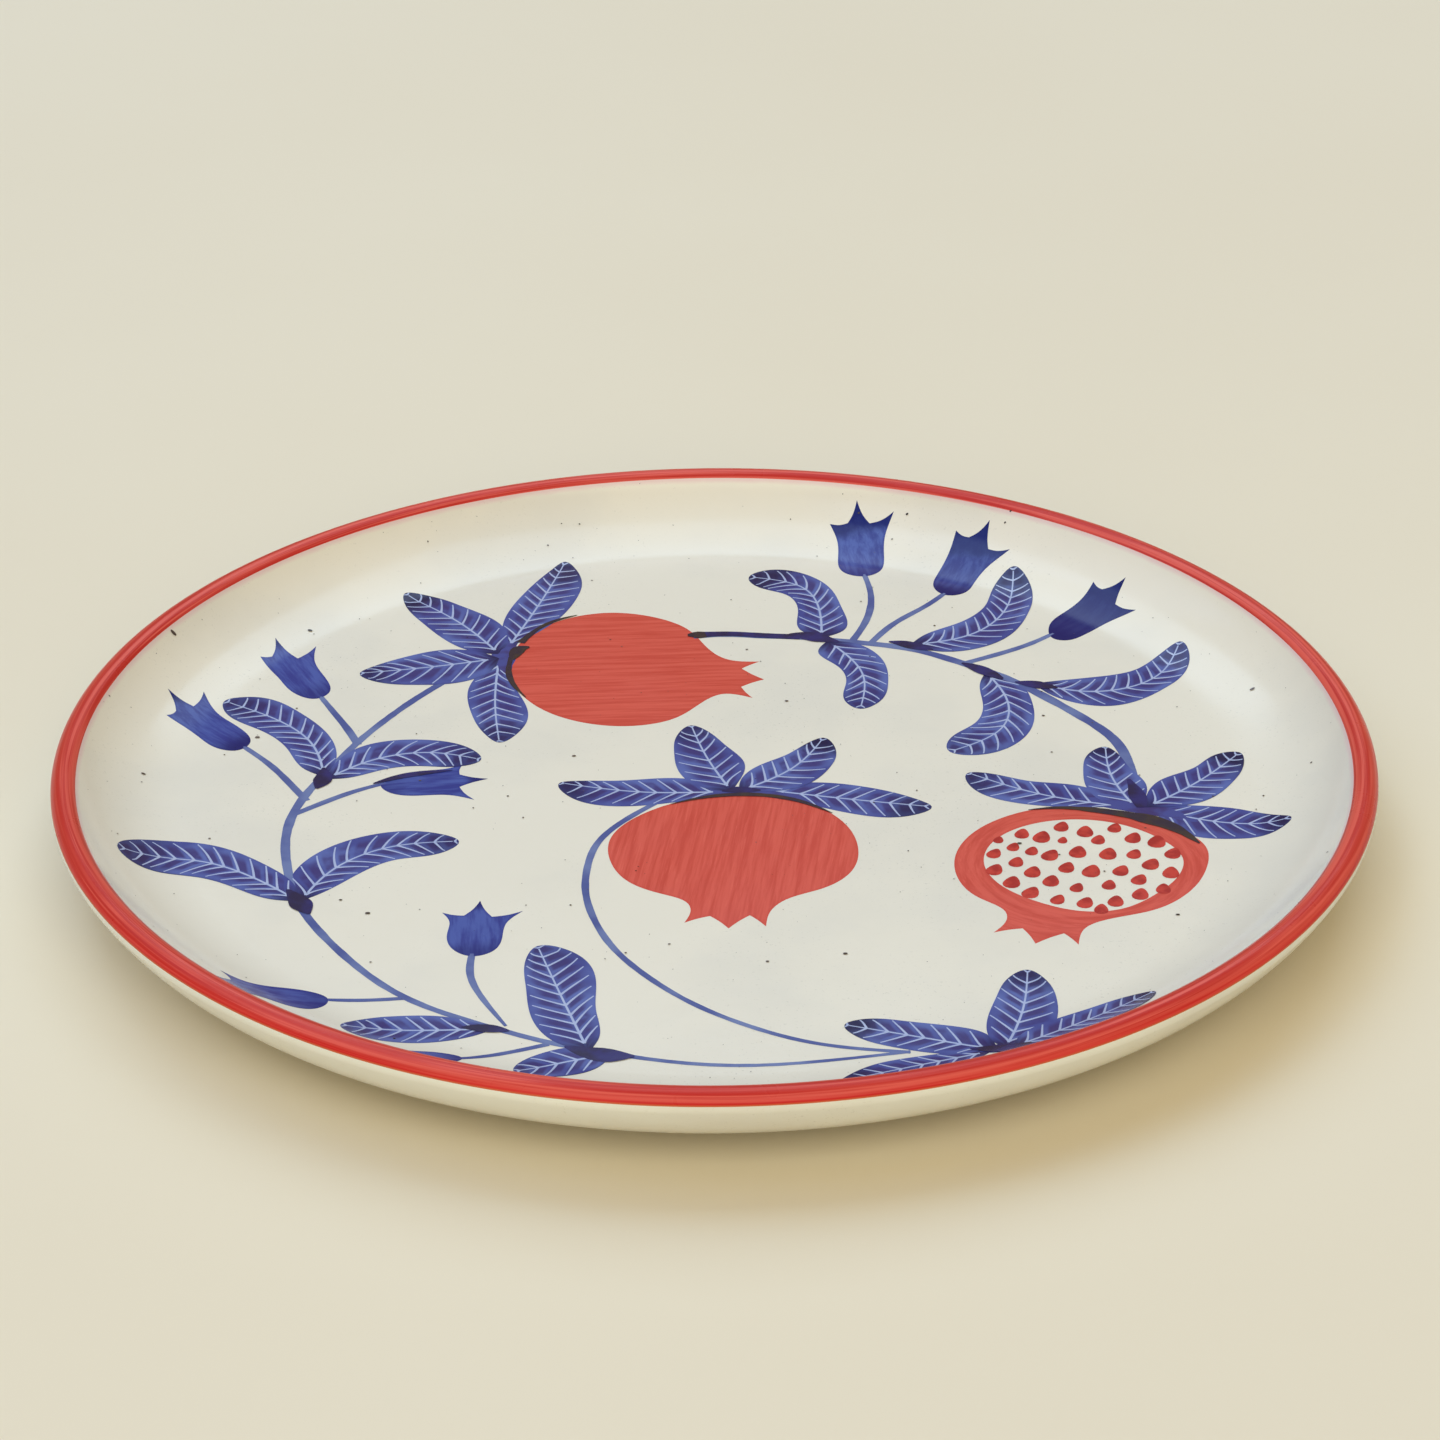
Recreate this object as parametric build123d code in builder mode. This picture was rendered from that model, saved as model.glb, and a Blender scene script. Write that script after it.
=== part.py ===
from build123d import *
import os
from math import cos, radians, sin

os.makedirs("parts", exist_ok=True)

# Hand painted dinner plate. Millimetres and degrees, +Z up.
# The origin is on the plate's axis, at the plane that the foot ring stands on.
# A thrown clay body carries a skin of glass: white glaze on the front, the back and inside the
# foot ring, a red band over the lip, and the painting in coloured glazes that lie in the white one.

# Driving dimensions.
plate_diameter = 270.0
plate_height = 22.0
lip_thickness = 5.6
wall_slope = 55.0
back_slope = 63.0
floor_thickness = 5.7
rim_overhang = 47.0
foot_width = 5.0
foot_height = 4.2
foot_fillet = 1.8
foot_rounding = 0.8
bare_foot = 1.2
glaze = 0.4
band_edge = 11.0

# The painting is drawn for a plate of this diameter and spreads with the plate.
drawing_diameter = 270.0
spread = plate_diameter / drawing_diameter
leaf_stations = (0.1, 0.35, 0.65, 0.9)
seed_lean = -17.0

# The lip is round. The inside wall and the back are arcs that leave it at their slopes and run
# level into the floor and the underside.
lip = lip_thickness / 2
lip_r = plate_diameter / 2 - lip
lip_z = plate_height - lip
floor_z = foot_height + floor_thickness
wall_bend = (lip_z + lip * cos(radians(wall_slope)) - floor_z) / (1 - cos(radians(wall_slope)))
wall_r = lip_r - (lip + wall_bend) * sin(radians(wall_slope))
wall_z = floor_z + wall_bend
back_bend = (lip_z - lip * cos(radians(back_slope)) - foot_height) / (1 - cos(radians(back_slope)))
back_r = lip_r - (back_bend - lip) * sin(radians(back_slope))
back_z = foot_height + back_bend

# The foot ring's two walls, and the arcs that join them to the underside.
foot_out = plate_diameter / 2 - rim_overhang
foot_in = foot_out - foot_width
fillet_z = foot_height - foot_fillet
out_fillet_r = foot_out + foot_fillet
in_fillet_r = foot_in - foot_fillet
clay_top = foot_height + glaze

# Clay body: everything under the skin, with a bare foot ring that the glaze stops short of.
with BuildPart() as clay_body:
    with BuildSketch(Plane.XZ):
        with BuildLine():
            Line((0, clay_top), (in_fillet_r, clay_top))
            inner = CenterArc((in_fillet_r, fillet_z), foot_fillet + glaze, 90, -90)
            Line(inner @ 1, (foot_in + glaze, 0))
            Line((foot_in + glaze, 0), (foot_out - glaze, 0))
            outer = CenterArc((out_fillet_r, fillet_z), foot_fillet + glaze, 180, -90)
            Line((foot_out - glaze, 0), outer @ 0)
            Line(outer @ 1, (back_r, clay_top))
            CenterArc((back_r, back_z), back_bend - glaze, -90, back_slope)
            CenterArc((lip_r, lip_z), lip - glaze, back_slope - 90, 180 + wall_slope - back_slope)
            CenterArc((wall_r, wall_z), wall_bend + glaze, wall_slope - 90, -wall_slope)
            Line((wall_r, floor_z - glaze), (0, floor_z - glaze))
            Line((0, floor_z - glaze), (0, clay_top))
        face = make_face()
        fillet(face.vertices().group_by(Axis.Z)[0], foot_rounding)
    revolve(axis=Axis.Z)
clay_body.part.label = "clay_body"
export_step(clay_body.part, "parts/clay_body.step")

# White glaze on the underside: from the red band round the back and down the outside of the foot.
with BuildPart() as white_back_glaze:
    with BuildSketch(Plane.XZ):
        with BuildLine():
            lip_arc = CenterArc((lip_r, lip_z), lip, band_edge, back_slope - 90 - band_edge)
            CenterArc((back_r, back_z), back_bend, back_slope - 90, -back_slope)
            Line((back_r, foot_height), (out_fillet_r, foot_height))
            down = CenterArc((out_fillet_r, fillet_z), foot_fillet, 90, 90)
            Line(down @ 1, (foot_out, bare_foot))
            Line((foot_out, bare_foot), (foot_out - glaze, bare_foot))
            up = CenterArc((out_fillet_r, fillet_z), foot_fillet + glaze, 180, -90)
            Line((foot_out - glaze, bare_foot), up @ 0)
            Line(up @ 1, (back_r, clay_top))
            CenterArc((back_r, back_z), back_bend - glaze, -90, back_slope)
            under = CenterArc((lip_r, lip_z), lip - glaze, back_slope - 90, 90 - back_slope + band_edge)
            Line(under @ 1, lip_arc @ 0)
        make_face()
    revolve(axis=Axis.Z)
white_back_glaze.part.label = "white_back_glaze"
export_step(white_back_glaze.part, "parts/white_back_glaze.step")

# White glaze inside the foot ring.
with BuildPart() as foot_recess_glaze:
    with BuildSketch(Plane.XZ):
        with BuildLine():
            Line((0, foot_height), (in_fillet_r, foot_height))
            down = CenterArc((in_fillet_r, fillet_z), foot_fillet, 90, -90)
            Line(down @ 1, (foot_in, bare_foot))
            Line((foot_in, bare_foot), (foot_in + glaze, bare_foot))
            up = CenterArc((in_fillet_r, fillet_z), foot_fillet + glaze, 0, 90)
            Line((foot_in + glaze, bare_foot), up @ 0)
            Line(up @ 1, (0, clay_top))
            Line((0, clay_top), (0, foot_height))
        make_face()
    revolve(axis=Axis.Z)
foot_recess_glaze.part.label = "foot_recess_glaze"
export_step(foot_recess_glaze.part, "parts/foot_recess_glaze.step")

# Red band: over the top of the lip, from the inside wall to just above the widest point.
band_angle = 90 + wall_slope - band_edge
with BuildPart() as red_rim_band:
    with BuildSketch(Plane.XZ):
        with BuildLine():
            over = CenterArc((lip_r, lip_z), lip, band_edge, band_angle)
            back = CenterArc((lip_r, lip_z), lip - glaze, band_edge, band_angle)
            Line(over @ 0, back @ 0)
            Line(over @ 1, back @ 1)
        make_face()
    revolve(axis=Axis.Z)
red_rim_band.part.label = "red_rim_band"
export_step(red_rim_band.part, "parts/red_rim_band.step")

# The whole skin of the front, floor and inside wall. The painting and the white glaze share it out.
with BuildPart() as front_skin:
    with BuildSketch(Plane.XZ):
        with BuildLine():
            Line((0, floor_z), (wall_r, floor_z))
            top = CenterArc((wall_r, wall_z), wall_bend, -90, wall_slope)
            bottom = CenterArc((wall_r, wall_z), wall_bend + glaze, -90, wall_slope)
            Line(top @ 1, bottom @ 1)
            Line((wall_r, floor_z - glaze), (0, floor_z - glaze))
            Line((0, floor_z - glaze), (0, floor_z))
        make_face()
    revolve(axis=Axis.Z)

# The painting, seen from above. Each motif is a flat outline in the plate's own x and y.

# Leaf: name, midrib from stalk to tip, then half widths left and right at the leaf stations.
leaves = [
    ("left_pomegranate_leaf_1", [(-45.5, 64), (-39.5, 85), (-34, 107.5)],
     (2.5, 5.4, 4.6, 1.8), (1.8, 6.0, 7.3, 3.7)),
    ("left_pomegranate_leaf_2", [(-47, 61.5), (-56.5, 77), (-69.5, 91)],
     (4.0, 7.0, 6.2, 2.8), (3.8, 7.0, 5.4, 2.8)),
    ("left_pomegranate_leaf_3", [(-47, 59.5), (-62, 55.5), (-77, 52.8)],
     (5.2, 8.6, 7.4, 3.8), (4.0, 7.4, 6.0, 2.2)),
    ("left_pomegranate_leaf_4", [(-47, 59), (-47, 39), (-45.3, 20.6)],
     (1.2, 4.2, 6.9, 3.6), (2.4, 5.8, 5.1, 2.2)),
    ("centre_pomegranate_leaf_1", [(2.5, -1.5), (-15, -1.5), (-32, 2.7)],
     (1.6, 4.4, 6.8, 4.2), (4.0, 6.3, 4.2, 1.6)),
    ("centre_pomegranate_leaf_2", [(3.5, -1.5), (-1.5, 13), (-4.9, 27.6)],
     (4.5, 7.3, 6.0, 2.9), (2.5, 6.7, 5.2, 2.3)),
    ("centre_pomegranate_leaf_3", [(5, -1.5), (15.8, 7.8), (23, 21.6)],
     (3.5, 6.0, 4.2, 1.8), (2.5, 6.5, 6.3, 3.2)),
    ("centre_pomegranate_leaf_4", [(7, 0), (26.5, -4.8), (44.4, -8.5)],
     (2.0, 5.6, 5.6, 2.3), (1.2, 3.8, 6.1, 3.9)),
    ("cut_pomegranate_leaf_1", [(84, -9), (68, -4), (52.6, 5.8)],
     (1.0, 3.4, 5.9, 3.9), (3.4, 6.3, 4.0, 2.0)),
    ("cut_pomegranate_leaf_2", [(86, -9.5), (82.2, 4), (82, 16.8)],
     (4.0, 6.3, 5.3, 2.9), (3.0, 6.0, 4.4, 2.0)),
    ("cut_pomegranate_leaf_3", [(88, -9.5), (98.8, 0.2), (109.8, 13.8)],
     (3.0, 6.0, 4.1, 3.0), (2.5, 6.1, 5.4, 2.5)),
    ("cut_pomegranate_leaf_4", [(89, -10), (103, -15.8), (116.8, -16.6)],
     (2.8, 5.8, 6.0, 2.2), (2.5, 7.0, 6.2, 3.2)),
    ("top_vine_leaf_1", [(23.7, 68.5), (23.6, 82), (19.5, 94.5), (8, 99.5)],
     (4.6, 4.8, 5.2, 4.4), (4.9, 5.2, 5.3, 4.4)),
    ("top_vine_leaf_2", [(25, 67), (32, 52), (31.2, 34.8)],
     (4.0, 6.2, 5.1, 3.0), (4.6, 4.1, 4.0, 3.4)),
    ("top_vine_leaf_3", [(43, 64.5), (56.2, 69.2), (65, 81.5), (68, 98.9)],
     (4.2, 6.0, 4.8, 3.2), (4.0, 6.4, 5.2, 2.9)),
    ("top_vine_leaf_4", [(59, 51.5), (62.8, 38), (60.2, 24.5), (49.3, 15.2)],
     (3.8, 5.2, 6.0, 4.0), (3.2, 5.4, 6.0, 4.6)),
    ("top_vine_leaf_5", [(69, 46), (81, 42), (92.8, 46), (102, 61.5)],
     (3.4, 6.8, 5.5, 2.8), (3.0, 6.8, 4.6, 3.0)),
    ("left_vine_leaf_1", [(-81, 6), (-85.5, 22), (-93.5, 31.8), (-105, 40)],
     (3.8, 5.4, 5.5, 3.9), (2.4, 4.5, 5.6, 4.6)),
    ("left_vine_leaf_2", [(-80.5, 5), (-70.5, 13.6), (-59.5, 16.2), (-48.8, 13)],
     (2.6, 6.5, 5.7, 2.9), (2.9, 4.8, 5.8, 4.1)),
    ("left_vine_leaf_3", [(-82, -45), (-93, -34.8), (-105, -28.6), (-119.2, -29.8)],
     (3.2, 5.1, 6.2, 5.2), (3.0, 5.2, 6.8, 5.2)),
    ("left_vine_leaf_4", [(-81.5, -45), (-76, -32.5), (-66, -24), (-51.6, -21.5)],
     (4.1, 6.9, 6.2, 3.0), (2.6, 5.2, 5.3, 4.2)),
    ("left_vine_leaf_5", [(-41.5, -92.8), (-56, -93.2), (-70, -92.5)],
     (1.8, 4.0, 5.2, 3.2), (2.0, 4.9, 5.0, 2.6)),
    ("left_vine_leaf_6", [(-23.5, -101), (-29, -82), (-34.3, -62.9)],
     (4.3, 7.2, 5.6, 2.7), (3.0, 5.1, 8.0, 5.2)),
    ("left_vine_leaf_7", [(-19.5, -102), (-27.5, -104.5), (-37, -108.5)],
     (2.5, 4.6, 4.6, 2.6), (2.6, 4.6, 4.4, 2.4)),
    ("low_sprig_leaf_1", [(52, -101.5), (38, -96.7), (24.1, -92.2)],
     (2.0, 4.4, 4.7, 2.6), (4.6, 5.6, 4.6, 2.6)),
    ("low_sprig_leaf_2", [(53.5, -101.5), (57.8, -87), (59.6, -72.9)],
     (3.5, 5.9, 5.4, 2.9), (3.5, 6.6, 6.0, 2.8)),
    ("low_sprig_leaf_3", [(55, -101.5), (69.5, -92.5), (82.8, -83.4)],
     (3.0, 4.6, 3.8, 1.9), (2.5, 4.2, 3.8, 2.3)),
    ("low_sprig_leaf_4", [(51, -102.5), (37, -107), (23, -112.5)],
     (2.0, 4.2, 4.2, 2.2), (1.6, 3.0, 3.8, 1.9)),
]

# Tulip: name, one side from the stalk to its tip, notch, middle tip, notch, then the other side back.
tulips = [
    ("top_tulip_1", [(34.5, 99.6), (30.2, 101), (28.5, 109), (28.3, 115.5), (26.9, 119.4)],
     (31, 119), (33.2, 123.2), (36, 118.1), [(41.6, 119.4), (39.6, 115), (39, 107.5), (37.6, 101.8)]),
    ("top_tulip_2", [(52.6, 89.5), (50, 92.5), (50.8, 99.8), (54, 107.4), (55.6, 111.8)],
     (58.4, 109.4), (63.2, 111.2), (62.6, 105.3), [(67.4, 103.6), (62.6, 100.8), (58.8, 95), (56, 90.3)]),
    ("top_tulip_3", [(75.2, 67.2), (74, 71), (76.5, 78.2), (82.5, 84.3), (85.2, 88)],
     (86.9, 85.1), (92.1, 85.4), (89.4, 79.6), [(93.6, 75.9), (87.6, 74.2), (81.5, 69), (77.5, 66.6)]),
    ("left_tulip_1", [(-85.4, 41.2), (-90, 43.3), (-94.4, 50.8), (-97.2, 55.8), (-99.2, 59.5)],
     (-96.7, 60.3), (-96.6, 67.3), (-91.1, 60.2), [(-87.6, 66), (-87.3, 58.8), (-83.6, 49), (-83.2, 43.4)]),
    ("left_tulip_2", [(-100, 18), (-104.6, 19), (-108.6, 23.4), (-112.6, 27.3), (-116.2, 29.4)],
     (-114.5, 32.1), (-116.8, 38.3), (-111.2, 35.6), [(-109.7, 42), (-106.4, 35), (-100, 27), (-98, 20.5)]),
    ("left_tulip_3", [(-69, 2.4), (-66, 6), (-60, 8.4), (-55.8, 9.2), (-52.6, 10.8)],
     (-52.9, 6.6), (-47, 4.7), (-52.7, 1.3), [(-49.4, -4.2), (-55, -2.1), (-61, -2.3), (-67, -0.9)]),
    ("left_tulip_4", [(-46.7, -66.4), (-50.6, -63.8), (-52, -57.5), (-51.9, -53), (-53.4, -49.9)],
     (-49.1, -51.1), (-46.2, -45.4), (-43.6, -51.6),
     [(-37.7, -49.5), (-40.6, -53.8), (-41.3, -60), (-42.9, -64.6)]),
    ("left_tulip_5", [(-73.2, -82), (-76.4, -79.3), (-82.5, -78.2), (-89, -78.2), (-94, -75.8)],
     (-91.5, -80), (-96.5, -83), (-91, -84.5), [(-91, -90), (-86, -85.5), (-81, -86.6), (-75.2, -86)]),
    ("left_tulip_6", [(-46.8, -103.4), (-49.5, -101.9), (-54, -101.6), (-58.5, -102), (-62.5, -100.4)],
     (-60.8, -103.2), (-65, -104.8), (-60.6, -106.4),
     [(-61, -110.5), (-57.5, -107.6), (-53, -107.8), (-48.8, -106.3)]),
]

# Vine: name, route, width.
vines = [
    ("top_vine", [(-4.6, 70.2), (3, 70.7), (11, 69.8), (19, 69), (27, 67.2), (36, 65.2), (43, 62.9),
                  (54, 56), (62.5, 49.3), (70.5, 40.4), (78.4, 30), (84.1, 20.2), (86.3, 9), (87, 4)], 2.4),
    ("left_vine", [(-59, 48), (-64.3, 40.5), (-70.5, 30.2), (-75.2, 21), (-79.5, 10.5), (-83.5, 0.5),
                   (-86.2, -10.5), (-86.7, -20), (-85.3, -32), (-81.3, -47.5), (-76.5, -57.5), (-70, -68),
                   (-62, -78.2), (-53, -85.8), (-43, -91.6), (-32, -97.2), (-20, -101.4), (-7, -104.8),
                   (6, -106), (20, -104.6), (36, -101.6)], 1.7),
    ("inner_vine", [(-12, -6), (-18.7, -13.8), (-23.4, -22), (-25.4, -32), (-25.6, -41.5), (-23.7, -52.5),
                    (-19.5, -64), (-12.5, -75), (-4, -84.5), (6, -92.2), (18, -98.3), (36, -101.8)], 1.7),
]

# Tulip stems: route and width, one group for each vine they spring from.
stems = {
    "top_tulip_stems": [
        ([(34.2, 100.5), (35.2, 93), (35.1, 84), (33.3, 75), (30.3, 66.5)], 1.5),
        ([(52, 90.5), (47.2, 83.8), (40.6, 76.2), (34.6, 66)], 1.5),
        ([(75, 70), (69.5, 65), (62.5, 60.3), (54.2, 55.6)], 1.5),
    ],
    "left_tulip_stems": [
        ([(-84.6, 42), (-81, 34.2), (-77.5, 26.5), (-75, 20)], 1.6),
        ([(-99, 19.5), (-92.5, 11), (-87, 1.6), (-83.8, -4.2)], 1.5),
        ([(-68, 3.2), (-74, -0.2), (-80, -4.8), (-86, -10)], 1.5),
        ([(-46.8, -65.5), (-46.8, -73), (-44, -82), (-38.1, -94.2)], 1.4),
        ([(-74, -82), (-67, -82.3), (-58.2, -81.6)], 1.2),
        ([(-31, -98.2), (-38, -100.9), (-47.4, -103.7)], 1.2),
    ],
}

# Whole fruits: the round side as one smooth line, and the crown's points.
left_pomegranate = (
    [(9.9, 57.3), (3.4, 58.2), (-1.4, 64), (-6, 73.5), (-14, 79.7), (-24, 81.7), (-34.5, 77.7),
     (-41.5, 69.5), (-44.4, 61), (-44.6, 53), (-42.2, 44), (-35, 33.8), (-26, 28.7), (-17.5, 27.7),
     (-8.5, 31), (-2.8, 38), (1.8, 42.1), (8.2, 40.2)],
    [(5.8, 45.4), (10.8, 48.8), (6, 54)],
)
centre_pomegranate = (
    [(9.9, -55.9), (10.9, -50), (14, -45.6), (21.5, -41.2), (27, -35), (28.8, -25.5), (26.4, -15.2),
     (20.5, -7.6), (12, -3.3), (3, -2.6), (-6, -5), (-15, -11), (-20.8, -19.8), (-21, -29.5),
     (-17, -38.4), (-10.5, -43.1), (-5.4, -46.8), (-4.8, -49.5), (-6, -54.3)],
    [(-1, -51.8), (2.6, -56.6), (6.8, -51.6)],
)
cut_pomegranate = (
    [(70.1, -63.6), (72, -57.2), (77, -53.9), (86, -50.5), (93.5, -43.6), (98.2, -33), (98.5, -25.2),
     (94, -18.5), (86.5, -13.3), (78, -10.3), (69, -9.1), (60.5, -12), (52.5, -19), (48.3, -28),
     (48.1, -37.3), (52, -45.5), (56.8, -51), (56.8, -54), (54, -58.8)],
    [(59.7, -57.3), (61.8, -63.1), (67.6, -59.3)],
)
cut_opening = [(53.7, -32), (56, -23.2), (62, -17.2), (71.5, -14.2), (81, -15.7), (89, -21.5), (93.5, -30),
               (91.6, -38), (86.5, -44.8), (79, -50.3), (72, -50.9), (63.5, -47.2), (56.5, -40.5)]

# Seeds in the cut fruit: x, y, length.
seeds = [
    (70.3, -17.1, 4.3), (74.9, -19.2, 4.8), (81, -17.8, 4.0), (62.1, -19.9, 4.2), (66, -21.3, 5.0),
    (70.1, -22.7, 2.8), (77.3, -22.6, 4.0), (84.4, -21.9, 4.6), (89, -23.5, 5.2), (57.2, -22.4, 2.9),
    (60, -25.3, 3.6), (56, -27.9, 4.1), (63.6, -27, 3.7), (67.2, -28.7, 4.8), (72.8, -27.5, 5.0),
    (78.8, -28.3, 5.0), (84, -28.5, 4.1), (91.8, -28.3, 4.6), (60.2, -31.4, 4.2), (55.7, -34.4, 4.7),
    (63.2, -35.4, 4.7), (70.1, -33.7, 4.5), (74.9, -35.2, 5.2), (80.8, -35.1, 4.5), (87, -32.6, 4.8),
    (90.6, -36, 4.8), (58.8, -39.4, 4.9), (66.6, -39, 4.7), (71.5, -41.7, 3.8), (77.9, -40.7, 4.0),
    (84.1, -38.7, 4.4), (88.5, -42.4, 4.2), (62.3, -43.5, 4.8), (67.4, -46.3, 4.0), (72.7, -47.6, 4.5),
    (78.7, -47.1, 4.5), (83.8, -44.4, 4.7), (75.6, -50.1, 4.0),
]

# A seed one long, upright: a drop that is narrower at its upper end.
seed_shape = [(0, 0.5), (-0.25, 0.2), (-0.34, -0.14), (-0.2, -0.44), (0.2, -0.44), (0.34, -0.14), (0.25, 0.2)]


def spread_out(points):
    """Points of the drawing, moved out or in to suit the plate's diameter."""
    return [Vector(x * spread, y * spread) for x, y in points]


def beside(route, along, distance):
    """The point a distance to the left of a route, part of the way along it."""
    return route @ along + (route % along).rotate(Axis.Z, 90) * distance * spread


def leaf_outline(midrib, left, right):
    """A leaf: out along its left side, round the tip and back along its right side."""
    route = Spline(*spread_out(midrib))
    points = [route @ 0]
    for along, half_width in zip(leaf_stations, left):
        points.append(beside(route, along, half_width))
    points.append(route @ 1)
    for along, half_width in zip(reversed(leaf_stations), reversed(right)):
        points.append(beside(route, along, -half_width))
    points.append(route @ 0)
    with BuildSketch() as outline:
        with BuildLine():
            Spline(*points)
        make_face()
    return outline.sketch


def stroke_outline(points, width):
    """A brush stroke of one width along a route."""
    route = Spline(*spread_out(points))
    steps = [step / (len(points) - 1) for step in range(len(points))]
    with BuildSketch() as outline:
        with BuildLine():
            one_side = Spline(*[beside(route, along, width / 2) for along in steps])
            other_side = Spline(*[beside(route, along, -width / 2) for along in steps])
            Line(one_side @ 0, other_side @ 0)
            Line(one_side @ 1, other_side @ 1)
        make_face()
    return outline.sketch


def crowned_outline(smooth_side, crown):
    """A shape with one smooth side, closed by straight lines from point to point."""
    with BuildSketch() as outline:
        with BuildLine():
            side = Spline(*spread_out(smooth_side))
            Polyline(side @ 1, *spread_out(crown), side @ 0)
        make_face()
    return outline.sketch


def tulip_outline(left, left_notch, middle, right_notch, right):
    """A tulip: its round cup is one smooth line from the right tip to the left tip."""
    return crowned_outline(right + left, [left_notch, middle, right_notch])


def ring_outline(outside, crown, opening):
    """The skin of the cut fruit, open in the middle."""
    with BuildSketch() as outline:
        add(crowned_outline(outside, crown))
        with BuildLine():
            Spline(*spread_out(opening), periodic=True)
        make_face(mode=Mode.SUBTRACT)
    return outline.sketch


def seed_outline(x, y, length):
    """One seed, leaning as all of them do."""
    points = [Vector(u, v).rotate(Axis.Z, seed_lean) * length + Vector(x, y) for u, v in seed_shape]
    with BuildSketch() as outline:
        with BuildLine():
            Spline(*[point * spread for point in points], periodic=True)
        make_face()
    return outline.sketch


painting = {}


def overlaps(one, other):
    """Whether the boxes round two flat shapes overlap."""
    a = one.bounding_box()
    b = other.bounding_box()
    beside_in_x = a.max.X < b.min.X or b.max.X < a.min.X
    beside_in_y = a.max.Y < b.min.Y or b.max.Y < a.min.Y
    return not (beside_in_x or beside_in_y)


def paint(node, outlines):
    """Adds strokes to a node. A stroke stops where it meets what is already painted."""
    patches = []
    for outline in outlines:
        with BuildSketch() as stroke:
            add(outline)
            for done in [patch for node_patches in painting.values() for patch in node_patches]:
                if overlaps(done, outline):
                    add(done, mode=Mode.SUBTRACT)
        patches.append(stroke.sketch.faces().sort_by(SortBy.AREA)[-1])
    painting[node] = patches


# What is painted first keeps its whole outline.
paint("left_pomegranate", [crowned_outline(*left_pomegranate)])
paint("centre_pomegranate", [crowned_outline(*centre_pomegranate)])
paint("cut_pomegranate_skin", [ring_outline(*cut_pomegranate, cut_opening)])
paint("pomegranate_seeds", [seed_outline(*seed) for seed in seeds])
for vine, route, width in vines:
    paint(vine, [stroke_outline(route, width)])
for leaf, midrib, left, right in leaves:
    paint(leaf, [leaf_outline(midrib, left, right)])
for tulip, *sides in tulips:
    paint(tulip, [tulip_outline(*sides)])
for group, strokes in stems.items():
    paint(group, [stroke_outline(*stroke) for stroke in strokes])

# Each motif is the part of the front skin under its outlines.
for node, patches in painting.items():
    with BuildPart() as motif:
        with BuildSketch():
            add(patches)
        extrude(amount=plate_height)
        add(front_skin.part, mode=Mode.INTERSECT)
    motif.part.label = node
    export_step(motif.part, f"parts/{node}.step")

# White front glaze: the rest of the front skin.
with BuildPart() as white_front_glaze:
    add(front_skin.part)
    with BuildSketch():
        add([patch for patches in painting.values() for patch in patches])
    extrude(amount=plate_height, mode=Mode.SUBTRACT)
white_front_glaze.part.label = "white_front_glaze"
export_step(white_front_glaze.part, "parts/white_front_glaze.step")
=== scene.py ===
# %% [markdown]
# # A hand painted plate
# A shallow plate with a red line round its lip, painted with pomegranates, blue leaves and tulips.
# The real thing is made in layers: a thrown clay body, a white glaze poured over it, and colours
# brushed on that sink into the glass when it is fired. The scene is built in the same order. The
# measured model comes first, because every other piece takes its place from it.

# %% Load the measured model
import math

import bpy
import numpy as np
from mathutils import Matrix, Vector, geometry


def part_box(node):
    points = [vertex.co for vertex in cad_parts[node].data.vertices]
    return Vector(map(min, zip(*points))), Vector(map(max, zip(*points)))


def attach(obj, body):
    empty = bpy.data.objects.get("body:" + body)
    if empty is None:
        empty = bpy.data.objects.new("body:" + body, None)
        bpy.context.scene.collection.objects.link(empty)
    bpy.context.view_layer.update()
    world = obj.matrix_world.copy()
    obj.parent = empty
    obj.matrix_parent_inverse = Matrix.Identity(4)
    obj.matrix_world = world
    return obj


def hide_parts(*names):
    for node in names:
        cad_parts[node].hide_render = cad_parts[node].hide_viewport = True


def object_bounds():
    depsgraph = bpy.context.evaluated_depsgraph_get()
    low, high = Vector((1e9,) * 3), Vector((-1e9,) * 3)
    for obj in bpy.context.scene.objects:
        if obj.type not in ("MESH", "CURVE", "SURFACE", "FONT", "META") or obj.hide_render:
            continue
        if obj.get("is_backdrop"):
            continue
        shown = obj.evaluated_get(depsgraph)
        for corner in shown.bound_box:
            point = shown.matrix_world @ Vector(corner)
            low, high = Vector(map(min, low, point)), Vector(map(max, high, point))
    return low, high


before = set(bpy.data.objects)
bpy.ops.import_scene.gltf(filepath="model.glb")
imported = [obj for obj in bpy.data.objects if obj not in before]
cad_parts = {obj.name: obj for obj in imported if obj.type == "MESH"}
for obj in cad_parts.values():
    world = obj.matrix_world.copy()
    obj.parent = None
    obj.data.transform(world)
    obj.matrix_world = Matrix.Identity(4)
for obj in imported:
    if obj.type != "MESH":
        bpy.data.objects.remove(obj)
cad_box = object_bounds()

print("nodes in the model:", len(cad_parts))

# %% [markdown]
# ## The plate's section
# A plate is one section turned round an axis, so a few sizes fix its whole form. The ones that the
# model's boxes give are read from it. The slopes and widths that a box can't show are named here.

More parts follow.
